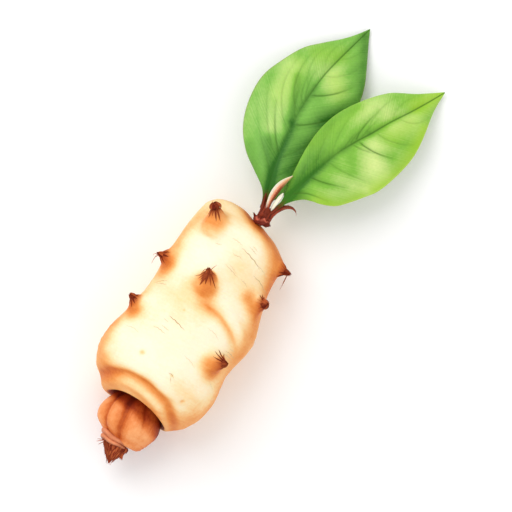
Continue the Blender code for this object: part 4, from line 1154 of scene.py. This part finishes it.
def makeLeaf(name):
    look, blade = leafLooks[name], leafBlade
    curves = {key: evenPath(look[key], 400) * mm for key in ("midrib", "left", "right")}
    curves["t"] = np.linspace(0, 1, 400)
    heightRow = midribHeights(look["node"], curves)
    bm = bmesh.new()
    bmesh.ops.create_grid(bm, x_segments=blade["across"], y_segments=blade["along"], size=1)
    piece = newPiece(name, bm)
    mesh = piece.data
    flat = readRows(mesh.vertices, "co")
    across, share = np.sign(flat[:, 0]) * np.abs(flat[:, 0]) ** 1.05, (flat[:, 1] + 1) / 2
    outwards = np.abs(across)
    plan, half = leafPoint(curves, across, share)
    offMid = outwards * half
    level = np.c_[plan, plan[:, :1] * 0]

    # the blade's height: drooping sides that spread out of a folded stalk, with a rippled margin
    ripple, rate, phase = look["wave"]
    opened = smoothStep(0.03, 0.16, share)
    width = np.minimum(1, half / (8 * mm))
    height = np.interp(share, heightRow[:, 0], heightRow[:, 1]) - blade["droop"] * half * across ** 2 * opened
    height += blade["bulge"] * mm * np.sin(math.pi * outwards) * width
    height += blade["gutter"] * half * outwards ** 1.5 * (1 - opened)
    edgeWave = np.sin(wholeTurn * (rate * share + phase) + 1.2 * np.sign(across))
    height += ripple * mm * edgeWave * outwards ** 3 * width

    # veins, sunk between pillows of blade
    vein, sunk, pillow = leafVeins(look, curves, plan)
    midFade = smoothStep(look["midribFrom"] - 0.15, look["midribFrom"] + 0.15, share)
    vein = np.maximum(vein, (0.12 + 0.68 * midFade) * bell(offMid, (0.46 - 0.2 * share) * mm))
    sunk = np.maximum(sunk, (0.5 + 0.6 * midFade) * bell(offMid, 0.7 * mm))
    pillow = np.minimum(pillow, smoothStep(0, 3.0 * mm, offMid))
    thin = smoothStep(0.0, 0.14, 1 - outwards) * width * opened
    height += (blade["pillow"] * mm * pillow - blade["veinSink"] * mm * sunk) * thin
    height += blade["grain"] * mm * noiseAt(level, 5 * mm, 6.0) * thin
    height = np.maximum(height, blade["thick"] * mm + 0.05 * mm)
    setPlaces(mesh, np.c_[plan, height])

    # painted light on the raised blade between veins, and painted light and shade in broad stretches
    glow, lime = 0.46 + 0.14 * (pillow - 0.6), np.zeros(len(plan))
    for path, size, strength in look["glow"]:
        glow += strength * bell(nearPath(plan, evenPath(path, 16) * mm)[0], size * mm)
    # painted shade along the lower midrib's groove
    glow -= 0.14 * bell(offMid, 1.8 * mm) * (1 - midFade)
    for path, size, strength in look["lime"]:
        lime = np.maximum(lime, strength * bell(nearPath(plan, evenPath(path, 16) * mm)[0], size * mm))
    length = np.linalg.norm(np.diff(curves["midrib"], axis=0), axis=1).sum()
    rim = np.where(across < 0, *look["rim"]) * smoothStep(0.965, 1.0, outwards)
    feather = share * length - 0.8 * offMid + 0.5 * (across < 0)  # the same along each fine side vein
    stalk = 1 - smoothStep(0.03, 0.105, share + 0.03 * outwards)
    fields = {"lime": lime, "feather": feather, "glow": glow, "vein": vein, "rim": rim, "stalk": stalk}
    for field, values in fields.items():
        addField(mesh, field, values)
    spread = mesh.attributes.new("leafPlace", "FLOAT_VECTOR", "POINT")
    spread.data.foreach_set("vector", level.astype(np.float32).ravel())
    skins = [leafSkin(name + "Wax", *look["colours"]), leafSkin(name + "Under", *blade["under"])]
    for skin in skins:
        mesh.materials.append(skin)
    addModifier(piece, "SOLIDIFY", thickness=blade["thick"] * mm, offset=-1, material_offset=1)
    addLeafStalk(settle(piece), curves, heightRow)
    finishPiece(piece, skins, look["node"], look["node"])


bractLook = {
    # cream, pink and brown from the left margin to the right one
    "stops": [(0.0, "#fff9e6"), (1.0, "#6e3411"), (0.26, "#fdeccb"), (0.42, "#f0a98a"), (0.60, "#dc8a66"),
              (0.76, "#93491f")],
    "foot": "#8c2c1c", "tip": "#d9c886", "thick": 0.3,
    # centre lines with height, (x, y, z), and half-widths; the slim inner one is cream all over
    "blades": [
        {"line": [(7.9, 54.0, 22.0), (7.3, 57.6, 23.2), (7.3, 61.0, 24.6), (7.8, 64.4, 25.8),
                  (8.9, 67.4, 26.5), (10.7, 70.9, 27.2)],
         "half": [0.7, 0.95, 1.35, 1.35, 1.0, 0.05], "pale": False},
        {"line": [(9.3, 54.0, 21.6), (9.7, 56.6, 22.8), (9.9, 59.2, 23.6), (10.2, 61.2, 24.0),
                  (10.6, 63.0, 24.2)],
         "half": [0.25, 0.52, 0.66, 0.6, 0.2], "pale": True}],
}


def makeBract():  # the pale young leaf between the stalks, with a brown right margin
    look = bractLook
    count = 80
    bm = bmesh.new()
    acrossLayer, shareLayer = [bm.verts.layers.float.new(key) for key in ("across", "share")]
    for blade in look["blades"]:
        rows = evenPath([(*p, half) for p, half in zip(blade["line"], blade["half"])], count)
        made = bmesh.ops.create_grid(bm, x_segments=28, y_segments=count - 1, size=1)["verts"]
        ahead = np.gradient(rows[:, :2], axis=0)
        ahead /= np.linalg.norm(ahead, axis=1)[:, None]
        table = np.c_[rows, ahead]
        for vert in made:
            across, share = vert.co.x, (vert.co.y + 1) / 2
            x, y, z, size, aheadX, aheadY = [np.interp(share * (count - 1), range(count), row)
                                             for row in table.T]
            ripple = 0.06 * math.sin(across * 9) * (1 - abs(across))
            height = z + 0.5 * size * across ** 2 - 0.2 * size + ripple
            vert.co = Vector((x + aheadY * across * size, y - aheadX * across * size, height)) * mm
            vert[acrossLayer] = -0.9 if blade["pale"] else across
            vert[shareLayer] = 0.12 + 0.4 * share if blade["pale"] else share
    piece = newPiece("bractBlade", bm)
    addModifier(piece, "SOLIDIFY", thickness=look["thick"] * mm, offset=0)
    settle(piece)
    finishPiece(piece, [bractSkin(look["stops"], look["foot"], look["tip"])], "bract", "bract")


curlLook = {
    "skin": ("curledDryScale", "#72200f", "#c87058", 0.6, 900.0),  # reddish brown scale with pink ribs, dull
    # (x, y, z above the middle of its solid)
    "line": [(9.2, 52.4, 1.2), (10.9, 54.6, 1.3), (12.5, 57.0, 1.0), (14.2, 58.6, 0.6), (16.2, 59.4, 0),
             (17.9, 59.1, -0.5), (18.9, 58.3, -0.9)],
    # (share along, half-width)
    "widths": [(0, 1.0), (0.15, 1.1), (0.45, 1.0), (0.7, 0.7), (0.88, 0.35), (1, 0.08)],
    "ribs": [(0.45, 0, 20), (-0.4, 2, 22), (0.0, 4, 25), (0.75, 1, 14)],  # place across, first and last step
}


def makeCurl():  # dry scale that bends away to the right and ends in a hair
    look = curlLook
    count = 26
    z = middleOf("curled_scale").z / mm
    line = evenPath([(x, y, z + rise) for x, y, rise in look["line"]], count) * mm
    widths = between(np.linspace(0, 1, count), look["widths"]) * mm
    bm = bmesh.new()
    addStrand(bm, line, widths, widths * 0.5, up, 0.35, sides=16)
    ahead = np.gradient(line, axis=0)
    ahead /= np.linalg.norm(ahead, axis=1)[:, None]
    side = np.cross(ahead, [0, 0, 1])
    for shift, start, end in look["ribs"]:
        lift = widths * 0.42 * (1 - abs(shift) * 0.5)
        rib = line + side * (widths * shift)[:, None] + np.array(up) * lift[:, None]
        size = np.maximum(widths[start:end] * 0.26, 0.03 * mm)
        addStrand(bm, rib[start:end], size, size * 0.7, up, dice.random(), sides=6)
    addHair(bm, [line[-3], line[-1], line[-1] + np.array((0.5, -1.0, -0.4)) * mm], 0.1 * mm, 0.9, 7)
    finishStrands("curledScale", bm, shadedFibre(*look["skin"]), "curled_scale", "curled_scale")


print("ginger root")
body, budAxes = makeRhizome()
bodyTree = treeOf(body.data)
makeScaleMarks(bodyTree)
budSkin = shadedFibre(*budScales["skin"])
for budName, (budFoot, budDirection) in budAxes.items():
    makeBud(budName, bodyTree, budFoot, budDirection, budSkin)
makeKnob()
makeKnobFolds()
makeKnobTip()
makeSheath()
makeShoot()
for leafName in leafLooks:
    makeLeaf(leafName)
makeBract()
makeCurl()

stageLook = {
    "floor": "#ffffff", "sky": 0.83, "lens": 600.0, "viewWidth": 204.8, "roll": 28.0,
    "aim": (12.7, 35.75, 20.0),
    # name, place from the aim and size in metres, power
    "lamps": [("keyLight", (-0.45, 0.25, 0.75), 0.6, 3.1), ("fillLight", (0.5, -0.3, 0.6), 0.7, 0.5)],
}


def addHolder(name, data):
    holder = bpy.data.objects.new(name, data)
    bpy.context.scene.collection.objects.link(holder)
    return holder


def makeStage():
    look = stageLook
    bm = bmesh.new()
    bmesh.ops.create_grid(bm, x_segments=1, y_segments=1, size=3.0)
    floor = newPiece("paleFloor", bm)
    # flat white paint: a plain ground that takes a soft shadow
    material, _, shader = newMaterial("paleFloorPaint", 0.9, IOR=1.5, Specular_IOR_Level=0.1)
    shader.inputs["Base Color"].default_value = fromHex(look["floor"])
    floor.data.materials.append(material)

    world = bpy.data.worlds.new("studio")
    world.use_nodes = True
    background = world.node_tree.nodes["Background"]
    background.inputs["Color"].default_value = (1, 1, 1, 1)
    background.inputs["Strength"].default_value = look["sky"]
    bpy.context.scene.world = world
    aim = Vector(look["aim"]) * mm
    for name, place, size, power in look["lamps"]:
        lamp = bpy.data.lights.new(name, "AREA")
        lamp.size = size
        lamp.energy = power
        holder = addHolder(name, lamp)
        holder.location = Vector(place) + aim
        holder.rotation_euler = (aim - holder.location).to_track_quat("-Z", "Y").to_euler()

    lens = bpy.data.cameras.new("camera")
    lens.lens = look["lens"]
    lens.clip_start, lens.clip_end = 0.01, 10.0
    camera = addHolder("camera", lens)
    camera.location = aim + up * look["viewWidth"] * mm * look["lens"] / lens.sensor_width
    camera.rotation_euler = (0, 0, math.radians(look["roll"]))
    bpy.context.scene.camera = camera
    bpy.context.scene.view_settings.view_transform = "Standard"
    print("stage")


makeStage()
